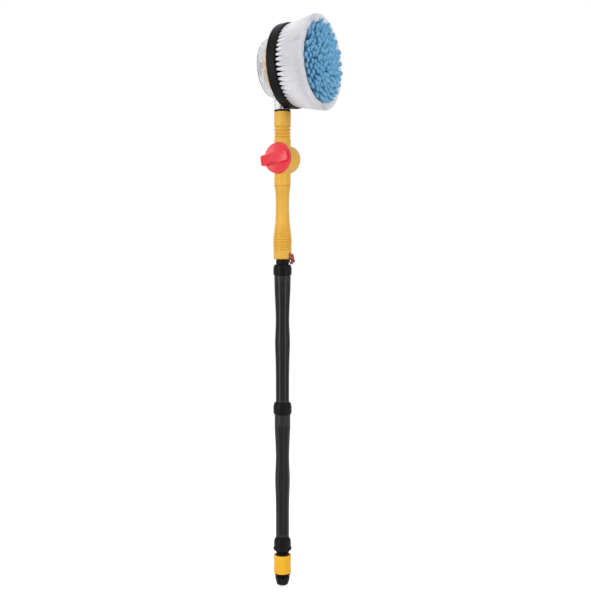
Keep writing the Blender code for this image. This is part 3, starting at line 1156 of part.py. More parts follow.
def build_disc(head):
    through = BRUSH_SCREW_RADIUS + 2 * SEAT_GAP
    seat = slice_back - SEAT_GAP
    disc = make_object("brush_disc", stacked_mesh([
        (DISC_BACK_RADIUS, DISC_BACK), (DISC_FRONT_RADIUS, disc_front - DISC_CHAMFER),
        (DISC_FRONT_RADIUS - DISC_CHAMFER, disc_front)], DISC_SIDES), black_plastic, head)
    cup = make_object("disc_cup_cutter", rods_mesh(
        DISC_BACK_RADIUS - DISC_WALL, DISC_BACK - OVERRUN, disc_plate_back, DISC_SIDES), black_plastic, head)
    seat_room = make_object("brush_seat_cutter", rods_mesh(
        slice_radii()[1] + SEAT_GAP, seat, disc_front + OVERRUN, DISC_SIDES), black_plastic, head)
    boss = make_object("disc_boss_form", rods_mesh(
        DISC_BOSS_RADIUS, disc_boss_back, disc_plate_back + OVERRUN, POLE_SIDES), black_plastic, head)
    pocket = rods_mesh(SCREW_POCKET_RADIUS, screw_seat, disc_front + OVERRUN, SMALL_SIDES)
    screw_room = make_object("screw_pocket_cutter", pocket, black_plastic, head)
    screw_hole = make_object("disc_screw_cutter", rods_mesh(
        through, disc_boss_back, screw_seat + OVERRUN, SMALL_SIDES), black_plastic, head)
    ribs = bmesh.new()
    for index in range(DISC_RIB_COUNT):
        turn = Matrix.Rotation(FULL_TURN * index / DISC_RIB_COUNT, 4, 'Z')
        half = DISC_RIB_THICKNESS / 2
        rib = block_mesh(((DISC_BOSS_RADIUS - OVERRUN, -half, disc_plate_back - DISC_RIB_HEIGHT),
                          (DISC_BACK_RADIUS - DISC_WALL / 2, half, disc_plate_back + OVERRUN)))
        corners = {vert: ribs.verts.new(turn @ vert.co) for vert in rib.verts}
        for face in rib.faces:
            ribs.faces.new([corners[vert] for vert in face.verts])
        rib.free()
    ribs_form = make_object("disc_ribs_form", ribs, black_plastic, head)
    drive = make_object("drive_socket_cutter", rods_mesh(
        HEX_RADIUS + 2 * SEAT_GAP, disc_boss_back - OVERRUN, hub_front + SEAT_GAP, 6), black_plastic, head)
    outlets = make_object("outlet_cutter", rods_mesh(
        OUTLET_RADIUS, disc_plate_back - OVERRUN, disc_front + OVERRUN, SCREW_SIDES,
        circle_places(OUTLET_COUNT, OUTLET_PLACE, math.pi / OUTLET_COUNT)), black_plastic, head)
    cut(join(cut(disc, cup), boss, ribs_form), seat_room, screw_room, screw_hole, drive, outlets)
    washer_back = screw_seat + SEAT_GAP
    washer_front = washer_back + BRUSH_WASHER_THICKNESS
    turned("brush_washer", tube(through, BRUSH_WASHER_RADIUS, washer_back, washer_front), SMALL_SIDES,
           steel, head)
    head_back = washer_front + SEAT_GAP
    head_front = head_back + BRUSH_SCREW_HEAD_HEIGHT
    screw = turned("brush_screw", [
        (0, washer_front - BRUSH_SCREW_LENGTH), (BRUSH_SCREW_RADIUS, washer_front - BRUSH_SCREW_LENGTH),
        (BRUSH_SCREW_RADIUS, head_back), (BRUSH_SCREW_HEAD_RADIUS, head_back),
        (BRUSH_SCREW_HEAD_RADIUS, head_front), (0, head_front)], SMALL_SIDES, steel, head)
    cut(screw, make_object("screw_socket_cutter", rods_mesh(
        BRUSH_SCREW_SOCKET_RADIUS, head_front - BRUSH_SCREW_HEAD_HEIGHT / 2, head_front + OVERRUN, 6),
        steel, head))


def slice_radii():
    """Inner and outer radius of the ring that the bristles are set in."""
    inner_row = TUFT_OUTER_ROW - TUFT_ROW_PITCH * (TUFT_ROWS - 1)
    reach = TUFT_TIP_HALF_DEPTH * TUFT_ROOT_SHARE + TUFT_BACKING_MARGIN
    return inner_row - reach, TUFT_OUTER_ROW + reach


def tuft_section(radius, half_depth, half_width, angle, height, corners):
    """Corners of a tuft: shares of its half depth outwards and of its half width sideways."""
    out_x, out_y = math.cos(angle), math.sin(angle)
    points = []
    for out, side in corners:
        reach, across = radius + out * half_depth, side * half_width
        points.append((reach * out_x - across * out_y, reach * out_y + across * out_x, height))
    return points


def build_bristles(head):
    """Rings of splayed tufts. Each leaves the ring narrow and widens until it meets its neighbours."""
    inner, outer = slice_radii()
    backing = turned("bristle_ring", tube(inner, outer, slice_back, disc_front), DISC_SIDES, nylon, head)
    tufts = bmesh.new()
    for row in range(TUFT_ROWS):
        base = TUFT_OUTER_ROW - TUFT_ROW_PITCH * row
        tip = TUFT_TIP_OUTER_ROW - TUFT_TIP_ROW_PITCH * row
        half_depth = TUFT_TIP_HALF_DEPTH
        half_width = math.pi * (tip - half_depth) / TUFTS_PER_ROW - TUFT_GAP / 2
        shoulder = base + (tip - base) * TUFT_SHOULDER_SHARE
        shoulder_width = math.pi * (shoulder - half_depth) / TUFTS_PER_ROW - TUFT_GAP / 2
        corners = TUFT_INNER_CORNER_SHARES if row else TUFT_OUTER_CORNER_SHARES
        for index in range(TUFTS_PER_ROW):
            angle = FULL_TURN * (index + 0.5) / TUFTS_PER_ROW
            sections = [tuft_section(base, half_depth * TUFT_ROOT_SHARE, half_width * TUFT_ROOT_SHARE, angle,
                                     disc_front - TUFT_ROOT, corners)]
            if row == 0:
                sections.append(tuft_section(shoulder, half_depth, shoulder_width, angle,
                                             disc_front + TUFT_LENGTH * TUFT_SHOULDER_SHARE, corners))
            sections.append(tuft_section(tip, half_depth, half_width, angle, tuft_tips, corners))
            add_loft(tufts, sections)
    join(backing, make_object("tufts_form", tufts, nylon, head))


def build_pad(head):
    """A foam block that carries the chenille fingers up to the bristles' tips."""
    make_object("foam_block", lofted_mesh([
        ring_points(DISC_SIDES, FOAM_BASE_RADIUS, foam_back),
        ring_points(DISC_SIDES, FOAM_TOP_RADIUS, foam_front)]),
        foam, head)
    pad = make_object("chenille_pad", rods_mesh(PAD_RADIUS, pad_back, pad_front, DISC_SIDES), chenille, head)
    fingers = bmesh.new()
    for index in range(FINGER_COUNT):
        reach = math.sqrt((index + 0.5) / FINGER_COUNT)
        angle = GOLDEN_TURN * index
        length = FINGER_LENGTH * (1 - FINGER_DOME_SHARE * reach ** 2)
        sections = []
        for share, spread, thickness in FINGER_SHAPE_SHARES:
            radius = FINGER_FIELD_RADIUS * reach * spread
            centre = radius * math.cos(angle), radius * math.sin(angle)
            sections.append(ring_points(FINGER_SIDES, FINGER_RADIUS * thickness,
                                        pad_front - TUFT_ROOT + length * share, centre, start=angle))
        add_loft(fingers, sections)
    join(pad, make_object("fingers_form", fingers, chenille, head))


def build_all():
    for obj in list(bpy.data.objects):
        bpy.data.objects.remove(obj, do_unlink=True)
    valve_frame = frame_empty("valve_axis", (0, 0, valve_level), (0, QUARTER_TURN, VALVE_AZIMUTH))
    build_grip()
    build_handle(valve_frame)
    build_valve(valve_frame)
    build_knob(valve_frame)
    pin_level = grip_bottom - LATCH_PIN_DROP
    build_connector(pin_level)
    build_latch(pin_level)
    build_poles()
    build_adaptor()
    build_coupling()
    build_sleeve()
    build_hose_nut()
    head = frame_empty("brush_axis", (0, 0, head_level), (0, QUARTER_TURN, 0))
    build_housing(head)
    build_neck_fittings()
    build_turbine(head)
    build_gears(head)
    build_cover(head)
    build_disc(head)
    build_bristles(head)
    build_pad(head)


build_all()
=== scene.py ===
"""Rotary hose brush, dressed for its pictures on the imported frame.

Lengths are in metres. The pole stands along +Z, the middle of the hand grip is the origin, and the
brush faces +X.
"""
import json
import math
import random

import bmesh
import bpy
from mathutils import Matrix, Vector, noise


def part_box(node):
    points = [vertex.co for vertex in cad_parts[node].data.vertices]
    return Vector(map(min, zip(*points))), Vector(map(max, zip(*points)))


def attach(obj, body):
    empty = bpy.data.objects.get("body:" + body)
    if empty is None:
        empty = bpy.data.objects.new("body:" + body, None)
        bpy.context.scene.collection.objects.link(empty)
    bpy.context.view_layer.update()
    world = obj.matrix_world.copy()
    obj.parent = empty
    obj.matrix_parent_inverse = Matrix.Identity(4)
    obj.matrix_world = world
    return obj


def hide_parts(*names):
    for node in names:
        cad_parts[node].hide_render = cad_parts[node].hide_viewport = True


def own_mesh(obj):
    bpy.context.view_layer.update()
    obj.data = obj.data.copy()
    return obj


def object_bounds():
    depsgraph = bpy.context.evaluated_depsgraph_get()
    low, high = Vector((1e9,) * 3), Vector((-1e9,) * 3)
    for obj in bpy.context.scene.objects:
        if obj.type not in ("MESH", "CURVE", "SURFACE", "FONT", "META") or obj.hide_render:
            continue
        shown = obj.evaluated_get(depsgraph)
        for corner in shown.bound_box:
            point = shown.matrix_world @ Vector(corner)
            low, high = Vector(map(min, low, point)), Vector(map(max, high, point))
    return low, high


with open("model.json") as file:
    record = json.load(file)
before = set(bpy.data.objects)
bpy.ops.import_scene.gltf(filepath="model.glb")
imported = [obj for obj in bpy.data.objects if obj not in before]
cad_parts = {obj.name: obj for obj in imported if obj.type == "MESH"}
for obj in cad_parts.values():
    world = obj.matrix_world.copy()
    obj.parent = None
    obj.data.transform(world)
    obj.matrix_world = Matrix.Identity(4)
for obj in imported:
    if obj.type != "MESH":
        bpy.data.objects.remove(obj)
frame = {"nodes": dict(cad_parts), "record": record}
cad_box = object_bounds()
cad = frame["nodes"]
chance = random.Random(7)
noise.seed_set(7)

X, Z = 0, 2
FULL_TURN = 2 * math.pi
SEAT_GAP = 0.0003            # between pieces that rest on each other
RUNNING_GAP = 0.0005         # between pieces that turn on each other
RIM_ROUND = 0.0006           # broken edge of a moulded rim
OVERCUT = 0.002              # that a cutting shape passes what it cuts
TOLERANCE = 0.0001           # between places that count as the same
WELD = 0.000002              # between vertices that are joined
CAD_WELD = 0.000005          # the same, in a CAD piece
ROUND_STEPS = 72             # round a piece as thick as the handle
FINE_STEPS = 96              # round a piece whose outline is looked at closely


def span(node_name, axis):
    """The lowest and the highest place of a CAD piece along an axis."""
    low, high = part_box(node_name)
    return low[axis], high[axis]


# The brush, measured along its axis from the pole's axis
BRUSH_AXIS = Vector((1, 0, 0))
HEAD_LEVEL = sum(span("brush_disc", Z)) / 2
HEAD_CENTRE = Vector((0, 0, HEAD_LEVEL))
DISC_FRONT = span("brush_disc", X)[1]
RING_BACK, TUFT_TIPS = span("bristle_ring", X)
FOAM_BACK, FOAM_FRONT = span("foam_block", X)
PAD_BACK, FINGER_TIPS = span("chenille_pad", X)


# Materials

def linear(code):
    """Turns an sRGB hex code into the linear colour that a shader takes."""
    channels = [int(code[start:start + 2], 16) / 255 for start in (1, 3, 5)]
    colour = [c / 12.92 if c <= 0.04045 else ((c + 0.055) / 1.055) ** 2.4 for c in channels]
    return (*colour, 1.0)


def cleared(owner):
    """Makes a new material or world ready for nodes."""
    owner.use_nodes = True
    owner.node_tree.nodes.clear()
    return owner


def add(owner, kind, values=None, links=None, **settings):
    """Adds a node: settings are its properties, values its constants, and links what feeds it."""
    tree = owner.node_tree
    node = tree.nodes.new(kind)
    for name, value in settings.items():
        setattr(node, name, value)
    for socket, value in (values or {}).items():
        node.inputs[socket].default_value = value
    for socket, source in (links or {}).items():
        tree.links.new(source, node.inputs[socket])
    return node


def new_material(name):
    """A new material, and the place on the piece that its patterns are drawn by."""
    material = cleared(bpy.data.materials.new(name))
    return material, add(material, 'ShaderNodeTexCoord').outputs["Object"]


def with_shader(material, values, links):
    """The material with its surface shader added."""
    shader = add(material, 'ShaderNodeBsdfPrincipled', values, links)
    add(material, 'ShaderNodeOutputMaterial', links={"Surface": shader.outputs["BSDF"]})
    return material


def clouded(material, place, size, detail):
    """Noise whose features are of a given size."""
    values = {"Scale": 1 / size, "Detail": detail}
    return add(material, 'ShaderNodeTexNoise', values, {"Vector": place}).outputs["Fac"]


def stretched(material, place, scale):
    """The same place, drawn out or squeezed along the axes."""
    return add(material, 'ShaderNodeMapping', {"Scale": scale}, {"Vector": place}).outputs["Vector"]


def coloured(material, pattern, *steps):
    """Colours a pattern by (value, hex code) pairs."""
    ramp = add(material, 'ShaderNodeValToRGB', links={"Fac": pattern})
    elements = ramp.color_ramp.elements
    while len(elements) < len(steps):
        elements.new(1.0)
    for element, (value, code) in zip(elements, steps):
        element.position = value
        element.color = linear(code)
    return ramp.outputs["Color"]


def bumped(material, pattern, strength, distance):
    """Relief of a pattern, as normals."""
    values = {"Strength": strength, "Distance": distance}
    return add(material, 'ShaderNodeBump', values, {"Height": pattern}).outputs["Normal"]


def moulded(name, dark, light, roughness, grain, relief, specular=0.5):
    """Moulded plastic: a fine grain from the mould, and a faint cloudiness in its colour."""
    material, place = new_material(name)
    # Flow marks and handling leave broad, faint clouds.
    clouds = clouded(material, place, size=0.040, detail=3.0)
    shade = coloured(material, clouds, (0.30, dark), (0.70, light))
    # The mould's spark-eroded grain.
    pits = clouded(material, place, size=grain, detail=2.0)
    normal = bumped(material, pits, relief, grain / 4)
    # Handling polishes some places and scuffs others.
    scuffs = clouded(material, place, size=0.012, detail=4.0)
    finish = add(material, 'ShaderNodeMapRange', {
        "From Min": 0.3, "From Max": 0.7, "To Min": roughness - 0.05, "To Max": roughness + 0.07},
        {"Value": scuffs})
    return with_shader(material, {"IOR": 1.5, "Specular IOR Level": specular}, {
        "Base Color": shade, "Roughness": finish.outputs["Result"], "Normal": normal})


# ABS of the handle: warm yellow and satin, with a grain that breaks up its highlights.
yellow_abs = moulded("yellow_abs_grained", "#dda636", "#eab84a",
                     roughness=0.40, grain=0.0006, relief=0.25, specular=0.35)
# Smoother and brighter ABS of the coupling's sleeve and the ring gear.
bright_abs = moulded("bright_yellow_abs_smooth", "#f4ae0a", "#fcc022",
                     roughness=0.32, grain=0.0008, relief=0.10, specular=0.35)
# Glass-filled polypropylene of the brush's disc and the hose fittings: near black, a soft sheen.
black_polypropylene = moulded("black_polypropylene_satin", "#08080a", "#0e0e10",
                              roughness=0.38, grain=0.0007, relief=0.25, specular=0.10)
# The poles' ABS: charcoal and satin.
charcoal_abs = moulded("charcoal_abs_satin", "#131315", "#1b1c1e",
                       roughness=0.32, grain=0.0008, relief=0.12, specular=0.25)
# Rougher ABS of the collars and the connector, nearly black.
collar_abs = moulded("charcoal_abs_collar", "#08080a", "#0e0e10",
                     roughness=0.38, grain=0.0007, relief=0.25, specular=0.10)
# Glossy ABS of the flow knob.
red_abs = moulded("red_abs_gloss", "#e02433", "#ee3443",
                  roughness=0.28, grain=0.0008, relief=0.08, specular=0.4)
# The latch's red ABS, darker than the knob's red: painted shade where it sits behind the grip.
red_abs_painted_shade = moulded("red_abs_latch_painted_shade", "#8c1020", "#a01828",
                    roughness=0.34, grain=0.0008, relief=0.08, specular=0.3)
# Acetal gears and bushes: milky and waxy.
white_acetal = moulded("white_acetal_waxy", "#dcdcd6", "#ebebe6",
                       roughness=0.38, grain=0.0010, relief=0.08)
grey_acetal = moulded("grey_acetal_waxy", "#b9bbbd", "#c9cbcd",
                      roughness=0.38, grain=0.0010, relief=0.08)
# Nitrile rubber of the seals: black, matte, faintly dusty.
black_rubber = moulded("black_nitrile_rubber", "#121212", "#1b1b1b",
                       roughness=0.75, grain=0.0006, relief=0.35, specular=0.3)


def stainless():
    """Stainless wire and screws: drawn along their length, so their highlights streak a little."""
    material, place = new_material("stainless_steel_drawn")
    place = stretched(material, place, (1.0, 1.0, 8.0))
    streaks = clouded(material, place, size=0.004, detail=3.0)
    finish = add(material, 'ShaderNodeMapRange', {"To Min": 0.22, "To Max": 0.38},
                 {"Value": streaks})
    return with_shader(material, {"Base Color": linear("#c9cacc"), "Metallic": 1.0},
                 {"Roughness": finish.outputs["Result"]})


def clear_polycarbonate():
    """The moulded clear drum: glassy, with a slight haze and ripples left by the mould."""
    material, place = new_material("clear_polycarbonate")
    ripples = clouded(material, place, size=0.018, detail=1.0)
    return with_shader(material, {
        "Base Color": linear("#f7f8fa"), "Roughness": 0.13, "IOR": 1.3,
        "Transmission Weight": 0.82}, {"Normal": bumped(material, ripples, 0.03, 0.0008)})


def nylon_filament():
    """White nylon bristle: slightly blue, glossy along each filament, letting some light in."""
    material, place = new_material("white_nylon_filament")
    # Each filament catches the light a little differently: the streaks run along the bristles.
    place = stretched(material, place, (0.06, 1.0, 1.0))
    streaks = clouded(material, place, size=0.0012, detail=2.0)
    return with_shader(material, {
        "Roughness": 0.42, "IOR": 1.53, "Subsurface Weight": 0.2,
        "Subsurface Radius": (0.002, 0.002, 0.002), "Subsurface Scale": 1.0},
        {"Base Color": coloured(material, streaks, (0.30, "#f0f0fa"), (0.70, "#fdfdff"))})


def chenille_pile():
    """Microfibre chenille: short soft pile in twisted fingers, pale where the light grazes it."""
    material, place = new_material("blue_microfibre_chenille")
    pile = clouded(material, place, size=0.0018, detail=3.0)
    # The pile's colour runs from a painted shade in its hollows to a painted highlight on its
    # lumps, by the same noise as its relief.
    return with_shader(material, {
        "Roughness": 0.95, "Sheen Weight": 0.4, "Sheen Roughness": 0.5,
        "Sheen Tint": linear("#d8eefa"), "Specular IOR Level": 0.2}, {
        "Base Color": coloured(material, pile, (0.30, "#4a97c6"), (0.52, "#6fb3da"),
                               (0.72, "#98cdec")),
        "Normal": bumped(material, pile, 0.8, 0.0012)})


def open_foam():
    """Open cell polyurethane foam: matte grey, with cells about 1 mm across."""
    material, place = new_material("grey_polyurethane_foam")
    cells = add(material, 'ShaderNodeTexVoronoi', {"Scale": 1 / 0.0012}, {"Vector": place})
    depths = cells.outputs["Distance"]
    # The colour darkens into each cell's hollow: painted shade, by the same depths as the relief.
    return with_shader(material, {"Roughness": 1.0, "Specular IOR Level": 0.2}, {
        "Base Color": coloured(material, depths, (0.10, "#7b828b"), (0.60, "#a3a9b1")),
        "Normal": bumped(material, depths, 0.6, 0.0006)})


slot_finishes = {
    "yellow_plastic": yellow_abs,
    "bright_yellow_plastic": bright_abs,
    "black_plastic": black_polypropylene,
    "charcoal_plastic": charcoal_abs,
    "red_plastic": red_abs,
    "clear_plastic": clear_polycarbonate(),
    "white_acetal": white_acetal,
    "grey_acetal": grey_acetal,
    "stainless_steel": stainless(),
    "black_rubber": black_rubber,
    "white_nylon": nylon_filament(),
    "grey_foam": open_foam(),
    "blue_chenille": chenille_pile()}
# These pieces are darker than the others of their plastic; the latch's darker red is painted shade.
own_finishes = {"pole_connector": collar_abs, "top_collar": collar_abs, "middle_collar": collar_abs,
                "release_latch": red_abs_painted_shade}

record = frame["record"]
node_slots = {row["node"]: row["material_slot"] for row in record["subparts"]}
body_of = {name: body for body, names in record["behaviour"]["bodies"].items() for name in names}
for node_name, slot_name in node_slots.items():
    for holder in cad[node_name].material_slots:
        holder.material = slot_finishes[slot_name]


# Making pieces

def in_scene(name, data):
    """Puts a mesh, lamp or camera into the scene."""
    obj = bpy.data.objects.new(name, data)
    bpy.context.scene.collection.objects.link(obj)
    return obj


def meshed(name, bm):
    """Turns a bmesh into a mesh, and frees it."""
    mesh = bpy.data.meshes.new(name)
    bm.to_mesh(mesh)
    bm.free()
    return mesh


def piece(name, bm, slot, body, *replaced):
    """Turns a bmesh into a piece of the model that rides on a body."""
    mesh = meshed(name, bm)
    mesh.materials.append(slot_finishes[slot])
    obj = in_scene(name, mesh)
    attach(obj, body)
    if replaced:
        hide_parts(*replaced)
    return obj


def stand_in(node_name, bm):
    """A rounder, finer piece in the place of one CAD node."""
    obj = piece(f"{node_name}_finished", bm, node_slots[node_name], body_of[node_name], node_name)
    if node_name in own_finishes:
        obj.data.materials[0] = own_finishes[node_name]
    return obj


def shade_smooth(bm, limit=math.radians(32)):
    """Smooth faces, with the edges that turn more than the limit kept sharp."""
    for face in bm.faces:
        face.smooth = True
    for edge in bm.edges:
        if len(edge.link_faces) == 2:
            edge.smooth = edge.calc_face_angle(0) <= limit


def turned(outline, steps=ROUND_STEPS, centre=(0, 0, 0), axis=(0, 0, 1)):
    """Spins a closed outline of points that lie in one plane with the axis."""
    bm = bmesh.new()
    corners = [bm.verts.new(point) for point in outline]
    edges = [bm.edges.new(pair) for pair in zip(corners, corners[1:] + corners[:1])]
    bmesh.ops.spin(bm, geom=corners + edges, cent=centre, axis=axis, dvec=(0, 0, 0),
                   angle=FULL_TURN, steps=steps, use_merge=True)
    bmesh.ops.remove_doubles(bm, verts=bm.verts, dist=WELD)
    bmesh.ops.recalc_face_normals(bm, faces=bm.faces)
    shade_smooth(bm)
    return bm


def upright(*pairs, steps=ROUND_STEPS):
    """A piece turned round the pole's axis, from its (radius, level) outline."""
    return turned([(radius, 0, level) for radius, level in pairs], steps)


def above_axis(*pairs, steps=ROUND_STEPS):
    """A piece turned round the brush axis, from its (radius, forward) outline."""
    outline = [(forward, 0, HEAD_LEVEL + radius) for radius, forward in pairs]
    return turned(outline, steps, HEAD_CENTRE, BRUSH_AXIS)


def rod(radius, low, high):
    """A plain round bar along the pole's axis."""
    return upright((0, low), (radius, low), (radius, high), (0, high))


def corner(radius, level, size, start, end, steps=5):
    """Points of a round corner in an outline, with its angles in degrees."""
    angles = [math.radians(start + (end - start) * step / steps) for step in range(steps + 1)]
    return [(radius + size * math.cos(a), level + size * math.sin(a)) for a in angles]


def carved(bm, *steps):
    """Joins or cuts a shape with others in turn: a step is UNION or DIFFERENCE and its shape."""
    body = in_scene("shape", meshed("shape", bm))
    helpers = []
    for operation, shape in steps:
        helpers.append(in_scene("shape", meshed("shape", shape)))
        modifier = body.modifiers.new("carve", 'BOOLEAN')
        modifier.operation, modifier.solver, modifier.object = operation, 'EXACT', helpers[-1]
    result = bmesh.new()
    result.from_object(body, bpy.context.evaluated_depsgraph_get())
    for obj in [body] + helpers:
        mesh = obj.data
        bpy.data.objects.remove(obj)
        bpy.data.meshes.remove(mesh)
    bmesh.ops.remove_doubles(result, verts=result.verts, dist=WELD)
    shade_smooth(result)
    return result


def block(low, high):
    """A box between two opposite corners."""
    bm = bmesh.new()
    middle = (Vector(low) + Vector(high)) / 2
    size = Vector(high) - Vector(low)
    bmesh.ops.create_cube(
        bm, size=1.0, matrix=Matrix.Translation(middle) @ Matrix.Diagonal((*size, 1)))
    return bm


def rounded(bm, edges, size, segments):
    """Rounds edges of a shape."""
    bmesh.ops.bevel(bm, geom=edges, offset=size, segments=segments, profile=0.5, affect='EDGES',
                    material=-1)


def sink(vert, depth):
    """Moves a vertex towards the pole's axis."""
    shrunk = 1 - depth / math.hypot(vert.co.x, vert.co.y)
    vert.co.x *= shrunk
    vert.co.y *= shrunk


def smooth_value(table, share):
    """Reads a smooth curve through a table of (place, value) pairs."""
    share = min(max(share, table[0][0]), table[-1][0])
    index = max(i for i in range(len(table) - 1) if table[i][0] <= share)
    slopes = []
    for knot in (index, index + 1):
        before, after = table[max(knot - 1, 0)], table[min(knot + 1, len(table) - 1)]
        slopes.append((after[1] - before[1]) / (after[0] - before[0]))
    (start, first), (end, last) = table[index], table[index + 1]
    width = end - start
    t = (share - start) / width
    return ((2 * t ** 3 - 3 * t ** 2 + 1) * first + (t ** 3 - 2 * t ** 2 + t) * width * slopes[0]
            + (3 * t ** 2 - 2 * t ** 3) * last + (t ** 3 - t ** 2) * width * slopes[1])


def smoothed_copy(node_name):
    """A CAD piece with its loose triangles joined, so that its round walls shade as round."""
    bm = bmesh.new()
    bm.from_mesh(cad[node_name].data)
    bmesh.ops.remove_doubles(bm, verts=bm.verts, dist=CAD_WELD)
    shade_smooth(bm)
    return stand_in(node_name, bm)


# Pieces whose shape is right stay as they are, with their round walls shaded smooth.
for node_name in ("pole_connector", "release_latch", "coupling_body", "clear_housing",
                  "brush_disc", "gearbox_cover", "ring_gear_plate", "turbine_wheel", "neck_washer",
                  "neck_nipple"):
    smoothed_copy(node_name)

# The two springs are smoothed copies, each with a mesh of its own.
sleeve_spring = smoothed_copy("sleeve_spring")
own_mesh(sleeve_spring)
latch_spring = smoothed_copy("latch_spring")
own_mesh(latch_spring)


# Hand grip

GRIP_BOTTOM, GRIP_TOP = span("hand_grip", Z)
GRIP_LENGTH = GRIP_TOP - GRIP_BOTTOM
GRIP_PALM_RADIUS = 0.0177
GRIP_SHAPE_SHARES = ((0.0, 0.85), (0.09, 0.755), (0.25, 0.715), (0.42, 0.75), (0.53, 0.825),
                     (0.64, 0.935), (0.75, 1.0), (0.86, 0.98), (1.0, 0.95))
GRIP_END_ROUND = 0.0018
GRIP_BORE = 0.0080
WAIST_STATIONS, END_STATIONS = 30, 8   # of the outline above and below the ribs
RIB_COUNT = 13               # moulded round the palm swell
RIB_DEPTH = 0.0011
RIB_SPAN_SHARES = (0.44, 0.885)
RIB_PROFILE = ((0.0, 0), (0.27, 0), (0.42, 1), (0.58, 1), (0.73, 0))   # (place, groove) in a rib
RIB_FADE_START, RIB_FADE_RATE = 0.3, 2.5
SPIGOT_RADIUS, SPIGOT_LENGTH = 0.0106, 0.026
SOCKET_RADIUS = 0.0113
# The pocket that the latch's tooth drops into
POCKET_HALF_WIDTH = 0.00455
POCKET_INSIDE, POCKET_OUTSIDE = 0.0156, 0.0200
POCKET_LOW, POCKET_HIGH = GRIP_BOTTOM + 0.0081, GRIP_BOTTOM + 0.0114


def hand_grip():
    """A waisted handle with fine ribs round its palm swell, which fade out towards the waist."""
    first, last = RIB_SPAN_SHARES
    stations = [(step * first / WAIST_STATIONS, 0) for step in range(WAIST_STATIONS)]
    for rib in range(RIB_COUNT):
        for part, groove in RIB_PROFILE:
            stations.append((first + (last - first) * (rib + part) / RIB_COUNT, groove))
    stations += [(last + (1 - last) * step / END_STATIONS, 0) for step in range(END_STATIONS + 1)]
    wall = []
    for share, groove in stations:
        radius = GRIP_PALM_RADIUS * smooth_value(GRIP_SHAPE_SHARES, share)
        fade = min(1, RIB_FADE_START + RIB_FADE_RATE * (share - first) / (last - first))
        wall.append((radius - RIB_DEPTH * groove * fade, GRIP_TOP - GRIP_LENGTH * share))
    top, end = wall[0][0], wall[-1][0]
    floor = SPIGOT_LENGTH + SEAT_GAP
    grip = upright(
        (top - RIM_ROUND, GRIP_TOP), (top, GRIP_TOP - RIM_ROUND), *wall[1:-1],
        (end, GRIP_BOTTOM + GRIP_END_ROUND),
        *corner(end - GRIP_END_ROUND, GRIP_BOTTOM + GRIP_END_ROUND, GRIP_END_ROUND, 0, -90),
        (SOCKET_RADIUS, GRIP_BOTTOM), (SOCKET_RADIUS, GRIP_BOTTOM + floor),
        (GRIP_BORE, GRIP_BOTTOM + floor), (GRIP_BORE, GRIP_TOP - floor),
        (SOCKET_RADIUS, GRIP_TOP - floor), (SOCKET_RADIUS, GRIP_TOP))
    latch_pocket = block((POCKET_INSIDE, -POCKET_HALF_WIDTH, POCKET_LOW),
                         (POCKET_OUTSIDE, POCKET_HALF_WIDTH, POCKET_HIGH))
    return carved(grip, ('DIFFERENCE', latch_pocket))


stand_in("hand_grip", hand_grip())


# Handle with its valve barrel

HANDLE_TOP = span("valve_handle", Z)[1]
HANDLE_RADIUS, LOWER_HANDLE_RADIUS = 0.0158, 0.0155
HANDLE_ROUND = 0.001
NOSE_INSET, NOSE_LENGTH = 0.001, 0.0024          # of the thinner end of the spigot
GROOVES, GROOVE_PITCH, GROOVE_RISE = 4, 0.0065, 0.0605
GROOVE_DEPTH, GROOVE_SQUARENESS = 0.0026, 0.7
GROOVE_WIDTH_SHARE = 0.67                        # of the pitch
GROOVE_STATION_SHARES = (0, 0.12, 0.25, 0.42, 0.55, 0.67)
VALVE_LEVEL = sum(span("plug_retaining_ring", Z)) / 2
VALVE_TURN = (Matrix.Rotation(math.radians(-94), 4, 'Z')
              @ Matrix.Rotation(math.radians(90), 4, 'Y'))
VALVE_RADIUS, VALVE_EDGE = 0.0260, 0.0030
# Places along the valve's axis, in front of and behind the pole's axis
VALVE_FRONT, VALVE_BACK = 0.0112, 0.0248
CHAMBER_FRONT, CHAMBER_BACK, CHAMBER_RADIUS = 0.0178, 0.0205, 0.0123
LOWER_WATERWAY, UPPER_WATERWAY, WATERWAY_SLOPE = 0.0070, 0.0060, 0.0018
NIPPLE_SEAT_RADIUS, NIPPLE_SEAT_DEPTH = 0.0107, 0.0112
KNOB_RADIUS, KNOB_BACK, KNOB_FRONT = 0.0288, 0.0136, 0.0201
KNOB_CLEARANCE = 0.001                           # round the knob's rim


def on_valve(bm, tilt=Matrix()):
    """Moves a shape made along +Z on to the valve's axis."""
    bm.transform(Matrix.Translation((0, 0, VALVE_LEVEL)) @ VALVE_TURN @ tilt)
    return bm


